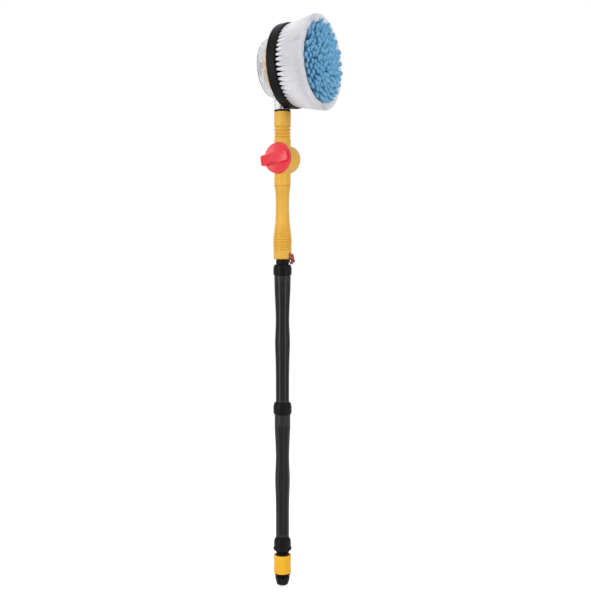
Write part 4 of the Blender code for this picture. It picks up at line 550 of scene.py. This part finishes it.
def valve_handle():
    """The straight tube with grooves at its neck, joined to the drum-shaped valve barrel."""
    grooved = []
    for index in range(GROOVES):
        upper = VALVE_LEVEL + GROOVE_RISE - GROOVE_PITCH * index
        for share in GROOVE_STATION_SHARES:
            bow = math.sin(math.pi * share / GROOVE_WIDTH_SHARE) ** GROOVE_SQUARENESS
            grooved.append((HANDLE_RADIUS - GROOVE_DEPTH * bow, upper - GROOVE_PITCH * share))
    foot = GRIP_TOP + SEAT_GAP
    spigot_end = GRIP_TOP - SPIGOT_LENGTH
    nose = SPIGOT_RADIUS - NOSE_INSET
    tube = upright(
        (0, HANDLE_TOP),
        *corner(HANDLE_RADIUS - HANDLE_ROUND, HANDLE_TOP - HANDLE_ROUND, HANDLE_ROUND, 90, 0),
        *grooved, (LOWER_HANDLE_RADIUS, VALVE_LEVEL - VALVE_RADIUS),
        (LOWER_HANDLE_RADIUS, foot + RIM_ROUND), (LOWER_HANDLE_RADIUS - RIM_ROUND, foot),
        (SPIGOT_RADIUS, foot), (SPIGOT_RADIUS, spigot_end + NOSE_LENGTH),
        (nose, spigot_end + NOSE_LENGTH), (nose, spigot_end), (0, spigot_end))
    barrel = on_valve(upright(
        (0, -VALVE_BACK),
        *corner(VALVE_RADIUS - VALVE_EDGE, -VALVE_BACK + VALVE_EDGE, VALVE_EDGE, -90, 0),
        *corner(VALVE_RADIUS - RIM_ROUND, VALVE_FRONT - RIM_ROUND, RIM_ROUND, 0, 90, 2),
        (0, VALVE_FRONT)))
    seat_floor = HANDLE_TOP - NIPPLE_SEAT_DEPTH - SEAT_GAP
    channel = upright(
        (0, spigot_end - OVERCUT), (LOWER_WATERWAY, spigot_end - OVERCUT),
        (LOWER_WATERWAY, GRIP_TOP), (UPPER_WATERWAY, GRIP_TOP + WATERWAY_SLOPE),
        (UPPER_WATERWAY, seat_floor), (NIPPLE_SEAT_RADIUS, seat_floor),
        (NIPPLE_SEAT_RADIUS, HANDLE_TOP + OVERCUT), (0, HANDLE_TOP + OVERCUT))
    chamber = on_valve(rod(CHAMBER_RADIUS, -CHAMBER_BACK, CHAMBER_FRONT))
    knob_room = on_valve(rod(KNOB_RADIUS + KNOB_CLEARANCE, KNOB_BACK - RUNNING_GAP, CHAMBER_FRONT))
    return carved(tube, ('UNION', barrel), ('DIFFERENCE', channel), ('DIFFERENCE', chamber),
                  ('DIFFERENCE', knob_room))


stand_in("valve_handle", valve_handle())


# Flow knob

KNOB_TILT = Matrix.Rotation(math.radians(8), 4, 'Z')
KNOB_BACK_ROUND, KNOB_FRONT_ROUND = 0.001, 0.0022
KNOB_RIM_WIDTH, KNOB_RIM_DROP = 0.0040, 0.0006
KNOB_DISH_RADIUS, KNOB_DISH_DEPTH = 0.0100, 0.0012
STEM_COLLAR_RADIUS = 0.0084
STEM_HALF_WIDTH, STEM_FRONT = 0.0036, 0.01715
BAR_BACK, BAR_FRONT = 0.0163, 0.0251
BAR_HALF_WIDTH, BAR_LONG_END, BAR_SHORT_END = 0.0102, 0.0340, 0.0255
BAR_CORNER, BAR_EDGE = 0.0045, 0.0017
# Each waist is the trace of a large disc beside the bar.
WAIST_RADIUS, WAIST_THICKNESS = 0.052, 0.009
WAIST_ASIDE, WAIST_ALONG, WAIST_DROP = 0.0597, -0.0080, 0.0003


def flow_knob():
    """A dished disc with a grip bar across it, whose long end passes the rim."""
    disc = upright(
        (0, VALVE_FRONT + RUNNING_GAP), (STEM_COLLAR_RADIUS, VALVE_FRONT + RUNNING_GAP),
        (STEM_COLLAR_RADIUS, KNOB_BACK),
        *corner(KNOB_RADIUS - KNOB_BACK_ROUND, KNOB_BACK + KNOB_BACK_ROUND, KNOB_BACK_ROUND,
                -90, 0, 3),
        *corner(KNOB_RADIUS - KNOB_FRONT_ROUND, KNOB_FRONT - KNOB_FRONT_ROUND, KNOB_FRONT_ROUND,
                0, 90),
        (KNOB_RADIUS - KNOB_RIM_WIDTH, KNOB_FRONT - KNOB_RIM_DROP),
        (KNOB_DISH_RADIUS, KNOB_FRONT - KNOB_DISH_DEPTH), (0, KNOB_FRONT - KNOB_DISH_DEPTH),
        steps=FINE_STEPS)
    bar = block((-BAR_HALF_WIDTH, -BAR_LONG_END, BAR_BACK),
                (BAR_HALF_WIDTH, BAR_SHORT_END, BAR_FRONT))
    uprights = [edge for edge in bar.edges
                if abs(edge.verts[0].co.z - edge.verts[1].co.z) > TOLERANCE]
    rounded(bar, uprights, BAR_CORNER, 8)
    rim = [edge for edge in bar.edges
           if all(vert.co.z > BAR_FRONT - TOLERANCE for vert in edge.verts)]
    rounded(bar, rim, BAR_EDGE, 4)
    half = STEM_HALF_WIDTH + SEAT_GAP
    stem_room = block((-half, -half, VALVE_FRONT - OVERCUT), (half, half, STEM_FRONT))
    # Both flanks of the bar are waisted for the fingers.
    waists = []
    for side in (-1, 1):
        waist = bmesh.new()
        place = Matrix.Translation((side * WAIST_ASIDE, WAIST_ALONG, BAR_FRONT - WAIST_DROP))
        bmesh.ops.create_cone(waist, cap_ends=True, segments=FINE_STEPS, radius1=WAIST_RADIUS,
                              radius2=WAIST_RADIUS, depth=WAIST_THICKNESS, matrix=place)
        waists.append(('DIFFERENCE', waist))
    knob = carved(bar, *waists, ('UNION', disc), ('DIFFERENCE', stem_room))
    return on_valve(knob, KNOB_TILT)


stand_in("flow_knob", flow_knob())


# Collars and poles

COLLAR_BORE = 0.0150
COLLAR_TOP_INSET, COLLAR_SHOULDER_ROUND = 0.0024, 0.0016
COLLAR_TOP_SLOPE = ((0.0005, 0.0050), (0.0, 0.0075))    # (inset, drop from the top)
COLLAR_FOOT_SLOPE = ((0.0, 0.0040), (0.0004, 0.0018))   # (inset, rise from the foot)
COLLAR_FOOT_INSET, COLLAR_FOOT_ROUND = 0.0016, 0.0012
POLE_SHAPE_SHARES = ((0.0, 1.0), (0.10, 0.99), (0.26, 0.875), (0.37, 0.843), (0.53, 0.935),
                     (0.67, 0.865), (0.80, 0.832), (0.95, 0.828), (1.0, 0.828))
UPPER_POLE_RADIUS, LOWER_POLE_RADIUS = 0.0157, 0.0151
POLE_BORE = 0.0075
POLE_STEPS = 320             # round a pole, so that its channels have clean edges
POLE_STATIONS = 44           # along a pole
FIRST_STATION_SHARE, LAST_STATION_SHARE = 0.01, 0.995
END_STATION_COUNT, END_STATION_SHARE = 8, 0.0035        # closer stations at a channel's ends
POLE_CREASE = math.radians(24)
CHANNEL_COUNT = 8
CHANNEL_DEPTH = 0.0019       # at the line inside each edge
FLOOR_RISE = 0.0012          # of the channel's floor, above that line
FLOOR_EDGE = 1.2             # where that rise starts, in widths of the channel's edge
CHANNEL_HALF_ANGLE = math.radians(13)
CHANNEL_EDGE = math.radians(4)
BORE_MARGIN = 0.0004         # past the socket's wall, before a vertex counts as outside


def collar(node_name):
    """A barrel-shaped sleeve: its shoulders slope and its middle is straight."""
    low, high = span(node_name, Z)
    radius = span(node_name, X)[1]
    return upright(
        (COLLAR_BORE, high), (radius - COLLAR_TOP_INSET, high),
        *corner(radius - 2 * COLLAR_SHOULDER_ROUND, high - COLLAR_SHOULDER_ROUND,
                COLLAR_SHOULDER_ROUND, 75, 30, 3),
        *((radius - inset, high - drop) for inset, drop in COLLAR_TOP_SLOPE),
        *((radius - inset, low + rise) for inset, rise in COLLAR_FOOT_SLOPE),
        *corner(radius - COLLAR_FOOT_INSET, low + COLLAR_FOOT_ROUND, COLLAR_FOOT_ROUND, 0, -90, 4),
        (COLLAR_BORE, low))


def fluted_pole(node_name, shoulder, foot, radius, socket_floor, first_angle, channel):
    """A waisted pole with flat-bottomed channels along it, whose ends are rounded."""
    low, high = span(node_name, Z)
    start, stop = channel
    length = shoulder - foot
    tube, top, end = COLLAR_BORE - SEAT_GAP, shoulder - SEAT_GAP, foot + SEAT_GAP
    shares = {FIRST_STATION_SHARE} | {step / POLE_STATIONS for step in range(1, POLE_STATIONS)}
    for step in range(END_STATION_COUNT):
        near_ends = {start + END_STATION_SHARE * step, stop - END_STATION_SHARE * step}
        shares |= {share for share in near_ends if share < LAST_STATION_SHARE}
    wall = [(radius * smooth_value(POLE_SHAPE_SHARES, share), shoulder - length * share)
            for share in sorted(shares)]
    thin = radius * POLE_SHAPE_SHARES[-1][1]
    bm = upright(
        (SOCKET_RADIUS, high), (tube, high), (tube, top), (radius - RIM_ROUND, top),
        (radius, top - RIM_ROUND), *wall, (thin, end + RIM_ROUND), (thin - RIM_ROUND, end),
        (SPIGOT_RADIUS, end), (SPIGOT_RADIUS, low), (POLE_BORE, low), (POLE_BORE, socket_floor),
        (SOCKET_RADIUS, socket_floor), steps=POLE_STEPS)
    pitch = FULL_TURN / CHANNEL_COUNT
    for vert in bm.verts:
        reach = math.hypot(vert.co.x, vert.co.y)
        share = (shoulder - vert.co.z) / length
        if reach < SOCKET_RADIUS + BORE_MARGIN or not start < share < stop:
            continue
        angle = math.atan2(vert.co.y, vert.co.x) - first_angle
        angle = (angle + pitch / 2) % pitch - pitch / 2
        # The channel narrows to a round end.
        run = min(share - start, stop - share) * length
        half_width = CHANNEL_HALF_ANGLE * reach
        if run < half_width:
            half_width = math.sqrt(half_width ** 2 - (half_width - run) ** 2)
        # The wall slopes down inside each edge, and the floor rises again from there.
        inside = (half_width - abs(angle) * reach) / (CHANNEL_EDGE * reach)
        sink(vert, CHANNEL_DEPTH * min(max(inside, 0), 1)
             - FLOOR_RISE * min(max(inside - FLOOR_EDGE, 0), 1))
    shade_smooth(bm, POLE_CREASE)
    return bm


for collar_name in ("top_collar", "middle_collar"):
    stand_in(collar_name, collar(collar_name))
(top_collar_low, top_collar_high), (middle_low, middle_high) = (
    span("top_collar", Z), span("middle_collar", Z))
stand_in("upper_pole", fluted_pole(
    "upper_pole", shoulder=top_collar_low, foot=middle_high, radius=UPPER_POLE_RADIUS,
    socket_floor=top_collar_high - SPIGOT_LENGTH - SEAT_GAP, first_angle=math.radians(28.3),
    channel=(0.045, 0.985)))
stand_in("lower_pole", fluted_pole(
    "lower_pole", shoulder=middle_low, foot=span("tap_adaptor", Z)[1] + SEAT_GAP,
    radius=LOWER_POLE_RADIUS, socket_floor=span("upper_pole", Z)[0] - SEAT_GAP,
    first_angle=math.radians(14.6), channel=(0.088, 0.975)))


# Tap adaptor

ADAPTOR_RADIUS = 0.0174
ADAPTOR_SHAPE_SHARES = ((0.0, 0.72), (0.155, 0.90), (0.35, 0.935), (0.49, 0.925), (0.57, 1.0),
                        (0.66, 0.985), (0.82, 0.69), (1.0, 0.685))
ADAPTOR_HEIGHT, ADAPTOR_STATIONS = 0.0355, 36
ADAPTOR_SOCKET_DEPTH, ADAPTOR_FLOOR_SLOPE = 0.0160, 0.002
TAP_NOSE_RADIUS, TAP_NOSE_BORE = 0.0076, 0.0045
CLAW_GROOVE_RADIUS = 0.0063
SEAL_GROOVE_RADIUS, SEAL_GROOVE_LOW, SEAL_GROOVE_HIGH = 0.0066, 0.0030, 0.0050
CLAW_LOW, CLAW_HIGH = span("coupling_claw_1", Z)


def tap_adaptor():
    """A waisted foot with a collar, and a nose with grooves for the claws and a seal."""
    low, high = span("tap_adaptor", Z)
    floor = high - ADAPTOR_SOCKET_DEPTH
    wall = [(ADAPTOR_RADIUS * smooth_value(ADAPTOR_SHAPE_SHARES, step / ADAPTOR_STATIONS),
             high - ADAPTOR_HEIGHT * step / ADAPTOR_STATIONS)
            for step in range(ADAPTOR_STATIONS + 1)]
    return upright(
        *wall, (TAP_NOSE_RADIUS, high - ADAPTOR_HEIGHT),
        (TAP_NOSE_RADIUS, CLAW_HIGH + RUNNING_GAP), (CLAW_GROOVE_RADIUS, CLAW_HIGH + RUNNING_GAP),
        (CLAW_GROOVE_RADIUS, CLAW_LOW - RUNNING_GAP), (TAP_NOSE_RADIUS, CLAW_LOW - RUNNING_GAP),
        (TAP_NOSE_RADIUS, low + SEAL_GROOVE_HIGH), (SEAL_GROOVE_RADIUS, low + SEAL_GROOVE_HIGH),
        (SEAL_GROOVE_RADIUS, low + SEAL_GROOVE_LOW), (TAP_NOSE_RADIUS, low + SEAL_GROOVE_LOW),
        (TAP_NOSE_RADIUS, low), (TAP_NOSE_BORE, low), (TAP_NOSE_BORE, floor - ADAPTOR_FLOOR_SLOPE),
        (POLE_BORE, floor), (SOCKET_RADIUS, floor), (SOCKET_RADIUS, high))


stand_in("tap_adaptor", tap_adaptor())


# Coupling sleeve

SLEEVE_RADIUS, SLEEVE_WAIST_INSET = 0.0168, 0.0004
SLEEVE_BORE, SLEEVE_FOOT_BORE = 0.0135, 0.0156
SLEEVE_TOP_INSET, SLEEVE_TOP_ROUND, SLEEVE_FOOT_ROUND = 0.0013, 0.0012, 0.0007
# Where the waist starts and is full, from the top and from the foot
WAIST_START_DROP, WAIST_FULL_DROP = 0.0100, 0.0115
WAIST_START_RISE, WAIST_FULL_RISE = 0.0075, 0.0090
# The land that holds the claws in
LAND_RADIUS, LAND_HEIGHT = 0.0121, 0.008
BODY_RIM_DROP, BODY_RIM_HEIGHT = 0.0022, 0.0026   # of the coupling body's rim, over the land


def coupling_sleeve():
    """A sleeve with a rolled rim, and a shallow finger waist below its middle."""
    low, high = span("coupling_sleeve", Z)
    waist = SLEEVE_RADIUS - SLEEVE_WAIST_INSET
    land_high = high - BODY_RIM_DROP - BODY_RIM_HEIGHT - SEAT_GAP
    land_low = land_high - LAND_HEIGHT
    return upright(
        (SLEEVE_BORE, high),
        *corner(SLEEVE_RADIUS - SLEEVE_TOP_INSET, high - SLEEVE_TOP_ROUND, SLEEVE_TOP_ROUND,
                90, 0, 4),
        (SLEEVE_RADIUS, high - WAIST_START_DROP), (waist, high - WAIST_FULL_DROP),
        (waist, low + WAIST_FULL_RISE), (SLEEVE_RADIUS, low + WAIST_START_RISE),
        *corner(SLEEVE_RADIUS - SLEEVE_FOOT_ROUND, low + SLEEVE_FOOT_ROUND, SLEEVE_FOOT_ROUND,
                0, -90, 3),
        (SLEEVE_FOOT_BORE, low), (SLEEVE_FOOT_BORE, land_low), (LAND_RADIUS, land_low),
        (LAND_RADIUS, land_high), (SLEEVE_BORE, land_high), steps=FINE_STEPS)


stand_in("coupling_sleeve", coupling_sleeve())


# Hose nut

NUT_RADIUS = 0.0137
NUT_SHAPE_SHARES = ((0.0, 0.93), (0.07, 1.0), (0.35, 1.0), (0.62, 0.90), (1.0, 0.78))
NUT_STATIONS, NUT_STEPS = 18, 108
NUT_RIM_INSET = 0.0005
HOSE_MOUTH_RADIUS, COLLET_ROOM_RADIUS, COLLET_CONE = 0.0090, 0.0109, 0.0019
NUT_LOBES, LOBE_DEPTH, LOBE_SHARPNESS = 9, 0.0016, 1.5
# Vertices that reach further are on the nut's outside: above the collet's foot, and below it.
OUTSIDE_REACH, LOW_OUTSIDE_REACH, OUTSIDE_DROP = 0.0100, 0.0095, 0.002
ROOM_MARGIN = 0.00005        # about the collet room's wall, which is left as it is


def hose_nut():
    """A tapered nut with nine grip lobes, which run out before its rims."""
    low, high = span("hose_nut", Z)
    height = high - low
    collet_low = span("hose_collet", Z)[0]
    wall = []
    for step in range(NUT_STATIONS + 1):
        inset = NUT_RIM_INSET if step in (0, NUT_STATIONS) else 0
        wall.append((NUT_RADIUS * smooth_value(NUT_SHAPE_SHARES, step / NUT_STATIONS) - inset,
                     high - height * step / NUT_STATIONS))
    bm = upright(*wall, (HOSE_MOUTH_RADIUS, low), (HOSE_MOUTH_RADIUS, collet_low - COLLET_CONE),
                 (COLLET_ROOM_RADIUS, collet_low), (COLLET_ROOM_RADIUS, high), steps=NUT_STEPS)
    for vert in bm.verts:
        reach = math.hypot(vert.co.x, vert.co.y)
        outside = reach > OUTSIDE_REACH or (
            reach > LOW_OUTSIDE_REACH and vert.co.z < collet_low - OUTSIDE_DROP)
        if outside and abs(reach - COLLET_ROOM_RADIUS) > ROOM_MARGIN:
            share = min(max((high - vert.co.z) / height, 0), 1)
            lobe = 0.5 - 0.5 * math.cos(NUT_LOBES * math.atan2(vert.co.y, vert.co.x))
            sink(vert, LOBE_DEPTH * (1 - lobe) ** LOBE_SHARPNESS * math.sin(math.pi * share))
    shade_smooth(bm)
    return bm


stand_in("hose_nut", hose_nut())


# Bristles

TUFT_COUNT = 54              # in each row
TUFT_ROWS = ((0.0742, 0.0854), (0.0678, 0.0806), (0.0614, 0.0758))   # (root, tip) radii
ROOT_SPREAD_SHARES = (0.34, 0.20, 0.15)   # of the width at a tuft's tip, outer row first
ROOT_SPREAD_CHANGE = (0.9, 1.1)           # from tuft to tuft
SHOULDER_SHARES = (0.24, 0.38)            # of a tuft's length, where its fan is full
SHOULDER_SPREAD, TIP_SPREAD = 0.98, 1.02
ROOT_HALF_DEPTH, TIP_HALF_DEPTH = 0.0013, 0.0021
FILAMENT_RADIUS = 0.00048    # drawn thicker than the real 0.2 mm, so that it shows
FAN = 11                     # filaments side by side in a tuft
TUFT_DEPTH = 4               # and one behind the other
TUFT_KINDS = 9
ROOT_SINK, TIP_SHORTFALL = 0.001, 0.0005  # into the disc, and behind the brush's front
TIP_UNEVENNESS = 0.0012
CLUMP_SIZE, CLUMP_BEND = 0.007, 0.0004
BRUSH_REACH = 0.0876


def tuft(root_radius, tip_radius, root_share):
    """Filaments that stand close at the disc, and fan out until they meet the next tuft's."""
    bm = bmesh.new()
    length = TUFT_TIPS - DISC_FRONT
    shoulder = chance.uniform(*SHOULDER_SHARES)
    root_spread = root_share * chance.uniform(*ROOT_SPREAD_CHANGE)
    widths = ((0.0, ROOT_HALF_DEPTH, root_spread), (shoulder, TIP_HALF_DEPTH, SHOULDER_SPREAD),
              (1.0, TIP_HALF_DEPTH, TIP_SPREAD))
    for layer in range(TUFT_DEPTH):
        depth = 2 * layer / (TUFT_DEPTH - 1) - 1
        for strand in range(FAN):
            # Every other layer stands half a filament aside.
            side = (strand + 0.5 * (layer % 2) + 0.25) / FAN * 2 - 1
            stations = []
            for share, half_depth, spread in widths:
                radius = root_radius + (tip_radius - root_radius) * share
                stations.append(Vector((
                    DISC_FRONT - ROOT_SINK + (length + (ROOT_SINK - TIP_SHORTFALL)) * share,
                    side * (math.pi * radius / TUFT_COUNT * spread),
                    HEAD_LEVEL + (radius + depth * half_depth))))
            stations[-1].x += chance.uniform(-TIP_UNEVENNESS, 0.0)
            made = bmesh.ops.create_circle(
                bm, cap_ends=True, segments=3, radius=FILAMENT_RADIUS,
                matrix=Matrix.Translation(stations[0]) @ Matrix.Rotation(math.pi / 2, 4, 'Y'))
            face = made["verts"][0].link_faces[0]
            for low, high in zip(stations, stations[1:]):
                face = bmesh.ops.extrude_discrete_faces(bm, faces=[face])["faces"][0]
                bmesh.ops.translate(bm, verts=face.verts, vec=high - low)
    return meshed("tuft", bm)


def bristle_row(root_radius, tip_radius, root_share):
    """Tufts of a few kinds, repeated round the brush axis."""
    kinds = [tuft(root_radius, tip_radius, root_share) for _ in range(TUFT_KINDS)]
    bm = bmesh.new()
    done = 0
    for index in range(TUFT_COUNT):
        bm.from_mesh(kinds[chance.randrange(TUFT_KINDS)])
        bm.verts.ensure_lookup_table()
        turn = Matrix.Rotation(FULL_TURN * index / TUFT_COUNT, 3, BRUSH_AXIS)
        bmesh.ops.rotate(bm, verts=bm.verts[done:], cent=HEAD_CENTRE, matrix=turn)
        done = len(bm.verts)
    for kind in kinds:
        bpy.data.meshes.remove(kind)
    # Use bends the filaments into loose clumps, most of all at their tips.
    length = TUFT_TIPS - DISC_FRONT
    for vert in bm.verts:
        share = max(vert.co.x - DISC_FRONT, 0) / length
        bend = noise.noise_vector(vert.co / CLUMP_SIZE)
        vert.co += Vector((0, bend.y, bend.z)) * CLUMP_BEND * share
        spoke = vert.co - HEAD_CENTRE
        reach = math.hypot(spoke.y, spoke.z)
        if reach > BRUSH_REACH:
            vert.co.y = spoke.y * BRUSH_REACH / reach
            vert.co.z = HEAD_LEVEL + spoke.z * BRUSH_REACH / reach
    bmesh.ops.recalc_face_normals(bm, faces=bm.faces)
    for face in bm.faces:
        face.smooth = len(face.verts) == 4
    return bm


for row_number, (row_radii, row_share) in enumerate(zip(TUFT_ROWS, ROOT_SPREAD_SHARES), 1):
    piece(f"bristle_row_{row_number}", bristle_row(*row_radii, row_share), "white_nylon", "brush",
          "bristle_ring")

# The ring that holds the tufts' roots lies inside the disc.
CARRIER_INSIDE, CARRIER_OUTSIDE, CARRIER_LIFT = 0.0592, 0.0764, 0.0001
carrier_back = RING_BACK + CARRIER_LIFT
piece("bristle_carrier_ring", above_axis(
    (CARRIER_INSIDE, carrier_back), (CARRIER_OUTSIDE, carrier_back), (CARRIER_OUTSIDE, DISC_FRONT),
    (CARRIER_INSIDE, DISC_FRONT)), "black_plastic", "brush", "bristle_ring")


# Foam and chenille

FOAM_SHAPE = (               # (radius, forward)
    (0.0100, FOAM_BACK), (0.0525, FOAM_BACK), (0.0540, FOAM_BACK + 0.0015), (0.0570, 0.0400),
    (0.0600, 0.0520), (0.0624, FOAM_FRONT - 0.0020), (0.0610, FOAM_FRONT), (0.0100, FOAM_FRONT))
BACKING_SHAPE = (            # (radius, forward)
    (0.0080, PAD_BACK), (0.0625, PAD_BACK), (0.0642, PAD_BACK + 0.0008),
    (0.0638, PAD_BACK + 0.0020), (0.0080, PAD_BACK + 0.0022))
FINGERS = 130
FINGER_RADIUS = 0.0056
FINGER_SEAM = 0.0010         # of the fingers' roots, in front of the pad's back
FINGER_LENGTH_SHARES = (0.88, 0.985)
FINGER_THICKNESS_SHARES = (0.90, 1.02)
OUTER_SHORTENING = 0.10      # of the outermost fingers
BLUNTNESS = 9                # a higher power gives a flatter end
LEAN_CURVE = 1.3             # a higher power bends a finger nearer its tip
ROOT_FIELD = 0.0575          # radius of the field that the fingers stand in
TIP_FIELD = 0.0765           # and that their tips lie in
BOTTOM_DRAW_SHARE = 0.06     # of that field, that the lowest tips lie further in
TIP_DISORDER = 0.0055
SPREADING_ROUNDS, SPREADING_SHARE = 24, 0.4
PILE_LUMP = 0.0026           # width of the lumps of pile on a finger
PILE_HEIGHT_SHARE = 0.20     # of a finger's radius
PILE_STEP = 3.1              # through the noise, so that no two fingers are the same


def tip_places(roots):
    """Where the fingers' tips lie: fanned out, disordered, and a finger's width apart."""
    tips = []
    for y, z in roots:
        tips.append([y * TIP_FIELD / ROOT_FIELD + chance.uniform(-1, 1) * TIP_DISORDER,
                     z * TIP_FIELD / ROOT_FIELD + chance.uniform(-1, 1) * TIP_DISORDER])
    for _ in range(SPREADING_ROUNDS):
        for first in range(len(tips)):
            for second in range(first):
                dy, dz = tips[first][0] - tips[second][0], tips[first][1] - tips[second][1]
                apart = math.hypot(dy, dz)
                if 0.00001 < apart < 2 * FINGER_RADIUS:
                    push = (2 * FINGER_RADIUS - apart) / apart * SPREADING_SHARE
                    for tip, sign in ((tips[first], 1), (tips[second], -1)):
                        tip[0] += sign * dy * push
                        tip[1] += sign * dz * push
        for tip in tips:
            reach = math.hypot(*tip)
            # The fingers hang together at the bottom, where the pad rested.
            limit = TIP_FIELD * (1 - BOTTOM_DRAW_SHARE * max(-tip[1] / max(reach, 0.001), 0))
            if reach > limit:
                tip[0] *= limit / reach
                tip[1] *= limit / reach
    return tips


def chenille_fingers():
    """Blunt pile fingers sewn to the backing, each leaning its own way."""
    bm = bmesh.new()
    golden = FULL_TURN * (1 - 2 / (1 + math.sqrt(5)))
    roots = []
    for index in range(FINGERS):
        reach = ROOT_FIELD * math.sqrt((index + 0.5) / FINGERS)
        roots.append((reach * math.cos(golden * index), reach * math.sin(golden * index)))
    base = PAD_BACK + FINGER_SEAM
    for index, (root, tip) in enumerate(zip(roots, tip_places(roots))):
        reach = math.hypot(*tip) / TIP_FIELD
        length = ((FINGER_TIPS - base) * (1 - OUTER_SHORTENING * reach ** 3)
                  * chance.uniform(*FINGER_LENGTH_SHARES))
        thick = FINGER_RADIUS * chance.uniform(*FINGER_THICKNESS_SHARES)
        made = bmesh.ops.create_uvsphere(bm, u_segments=12, v_segments=13, radius=thick)["verts"]
        foot = Vector((base, root[0], HEAD_LEVEL + root[1]))
        lean = Vector((0, tip[0] - root[0], tip[1] - root[1]))
        for vert in made:
            share = min(max((vert.co.z / thick + 1) / 2, 0), 1)
            middle = 2 * share - 1
            # A blunt end: the rings near both poles are widened towards a cylinder.
            fuller = math.sqrt((1 - abs(middle) ** BLUNTNESS) / max(1 - middle ** 2, 0.01))
            sideways = Vector((0, vert.co.x, vert.co.y)) * fuller
            drift = Vector((index * PILE_STEP, share * length / PILE_LUMP, 0))
            pile = noise.noise(sideways / PILE_LUMP + drift)
            vert.co = (foot + sideways * (1 + PILE_HEIGHT_SHARE * pile)
                       + lean * share ** LEAN_CURVE + BRUSH_AXIS * share * length)
    bmesh.ops.recalc_face_normals(bm, faces=bm.faces)
    for face in bm.faces:
        face.smooth = True
    return bm


foam = piece("foam_cushion", above_axis(*FOAM_SHAPE), "grey_foam", "brush", "foam_block")
piece("chenille_fingers", chenille_fingers(), "blue_chenille", "brush", "chenille_pad")
piece("chenille_backing", above_axis(*BACKING_SHAPE), "blue_chenille", "brush", "chenille_pad")


# Room

FLOOR_HALF_SIZE = 9.0
FLOOR_DROP = 0.004           # below the foot of the brush
PAPER_GLOW = 0.62
AMBIENT_LIGHT = 0.47
WHITE = linear("#ffffff")


def parted(owner, lighting, looks):
    """One shader that lights the brush, and one that the camera sees, also through the drum."""
    path = add(owner, 'ShaderNodeLightPath').outputs
    seen = add(owner, 'ShaderNodeMath', operation='MAXIMUM', links={
        0: path["Is Camera Ray"], 1: path["Is Glossy Ray"]})
    seen = add(owner, 'ShaderNodeMath', operation='MAXIMUM', links={
        0: seen.outputs["Value"], 1: path["Is Transmission Ray"]})
    mixed = add(owner, 'ShaderNodeMixShader', links={
        "Fac": seen.outputs["Value"], 1: lighting, 2: looks})
    return mixed.outputs["Shader"]


def backdrop_paper():
    """Plain pale paper: white to the camera, and it keeps a soft shadow."""
    material = cleared(bpy.data.materials.new("white_backdrop_paper"))
    paper = add(material, 'ShaderNodeBsdfDiffuse', {"Color": linear("#f2f2f2")}).outputs["BSDF"]
    glow = add(material, 'ShaderNodeEmission', {"Color": WHITE, "Strength": PAPER_GLOW})
    lit = add(material, 'ShaderNodeAddShader', links={0: paper, 1: glow.outputs["Emission"]})
    surface = parted(material, paper, lit.outputs["Shader"])
    add(material, 'ShaderNodeOutputMaterial', links={"Surface": surface})
    return material


floor_bm = bmesh.new()
bmesh.ops.create_grid(floor_bm, x_segments=1, y_segments=1, size=FLOOR_HALF_SIZE,
                      matrix=Matrix.Translation((0, 0, cad_box[0].z - FLOOR_DROP)))
floor = in_scene("floor", meshed("floor", floor_bm))
floor.data.materials.append(backdrop_paper())

world = cleared(bpy.data.worlds.new("white_studio"))
bpy.context.scene.world = world
ambient, white = (add(world, 'ShaderNodeBackground', {"Color": WHITE, "Strength": strength})
                  for strength in (AMBIENT_LIGHT, 1.0))
add(world, 'ShaderNodeOutputWorld', links={
    "Surface": parted(world, ambient.outputs["Background"], white.outputs["Background"])})


# Light and camera

CAMERA_AZIMUTH = math.radians(28.5)
CAMERA_DISTANCE = 1.615
CAMERA_LEVEL = -0.0912
FOCAL_PIXELS, IMAGE_HEIGHT = 850, 600
SENSOR_WIDTH = 36.0
RIGHT_SHIFT = 13             # pixels
RAISE = 30                   # pixels from the image's middle up to the horizon
TILT_RAISE = RAISE / 2       # pixels of it that come from a tilt, and the rest from a shift
DROP = 1                     # pixel that the picture is lowered by
to_camera = Vector((math.sin(CAMERA_AZIMUTH), -math.cos(CAMERA_AZIMUTH), 0))
to_right = Vector((math.cos(CAMERA_AZIMUTH), math.sin(CAMERA_AZIMUTH), 0))


def softbox(name, place, aim, width, height, power):
    """A rectangular lamp that faces its aim."""
    lamp = bpy.data.lights.new(name, 'AREA')
    lamp.shape = 'RECTANGLE'
    lamp.size, lamp.size_y, lamp.energy = width, height, power
    obj = in_scene(name, lamp)
    obj.location = place
    obj.rotation_euler = (Vector(aim) - Vector(place)).to_track_quat('-Z', 'Y').to_euler()


# Two tall boxes stand left and right of the camera, and give the handle and poles their two
# highlights.
softbox("left_softbox", to_camera * 1.15 - to_right * 1.45 + Vector((0, 0, 0.1)),
        aim=(0, 0, 0), width=0.35, height=2.2, power=19)
softbox("right_softbox", to_camera * 1.15 + to_right * 1.45 + Vector((0, 0, 0.3)),
        aim=(0, 0, 0), width=0.35, height=2.2, power=12)
softbox("top_softbox", to_camera * 0.5 + Vector((0.2, 0, 1.9)),
        aim=(0, 0, 0.2), width=1.4, height=1.4, power=9)

camera_data = bpy.data.cameras.new("camera")
camera_data.sensor_width = SENSOR_WIDTH
camera_data.lens = SENSOR_WIDTH * FOCAL_PIXELS / IMAGE_HEIGHT
camera_data.shift_x = RIGHT_SHIFT / IMAGE_HEIGHT
camera_data.shift_y = (DROP - (RAISE - TILT_RAISE)) / IMAGE_HEIGHT
camera = in_scene("camera", camera_data)
camera.location = to_camera * CAMERA_DISTANCE + Vector((0, 0, CAMERA_LEVEL))
camera.rotation_euler = (math.pi / 2 - math.atan(TILT_RAISE / FOCAL_PIXELS), 0, CAMERA_AZIMUTH)
bpy.context.scene.camera = camera
bpy.context.scene.view_settings.view_transform = 'Standard'
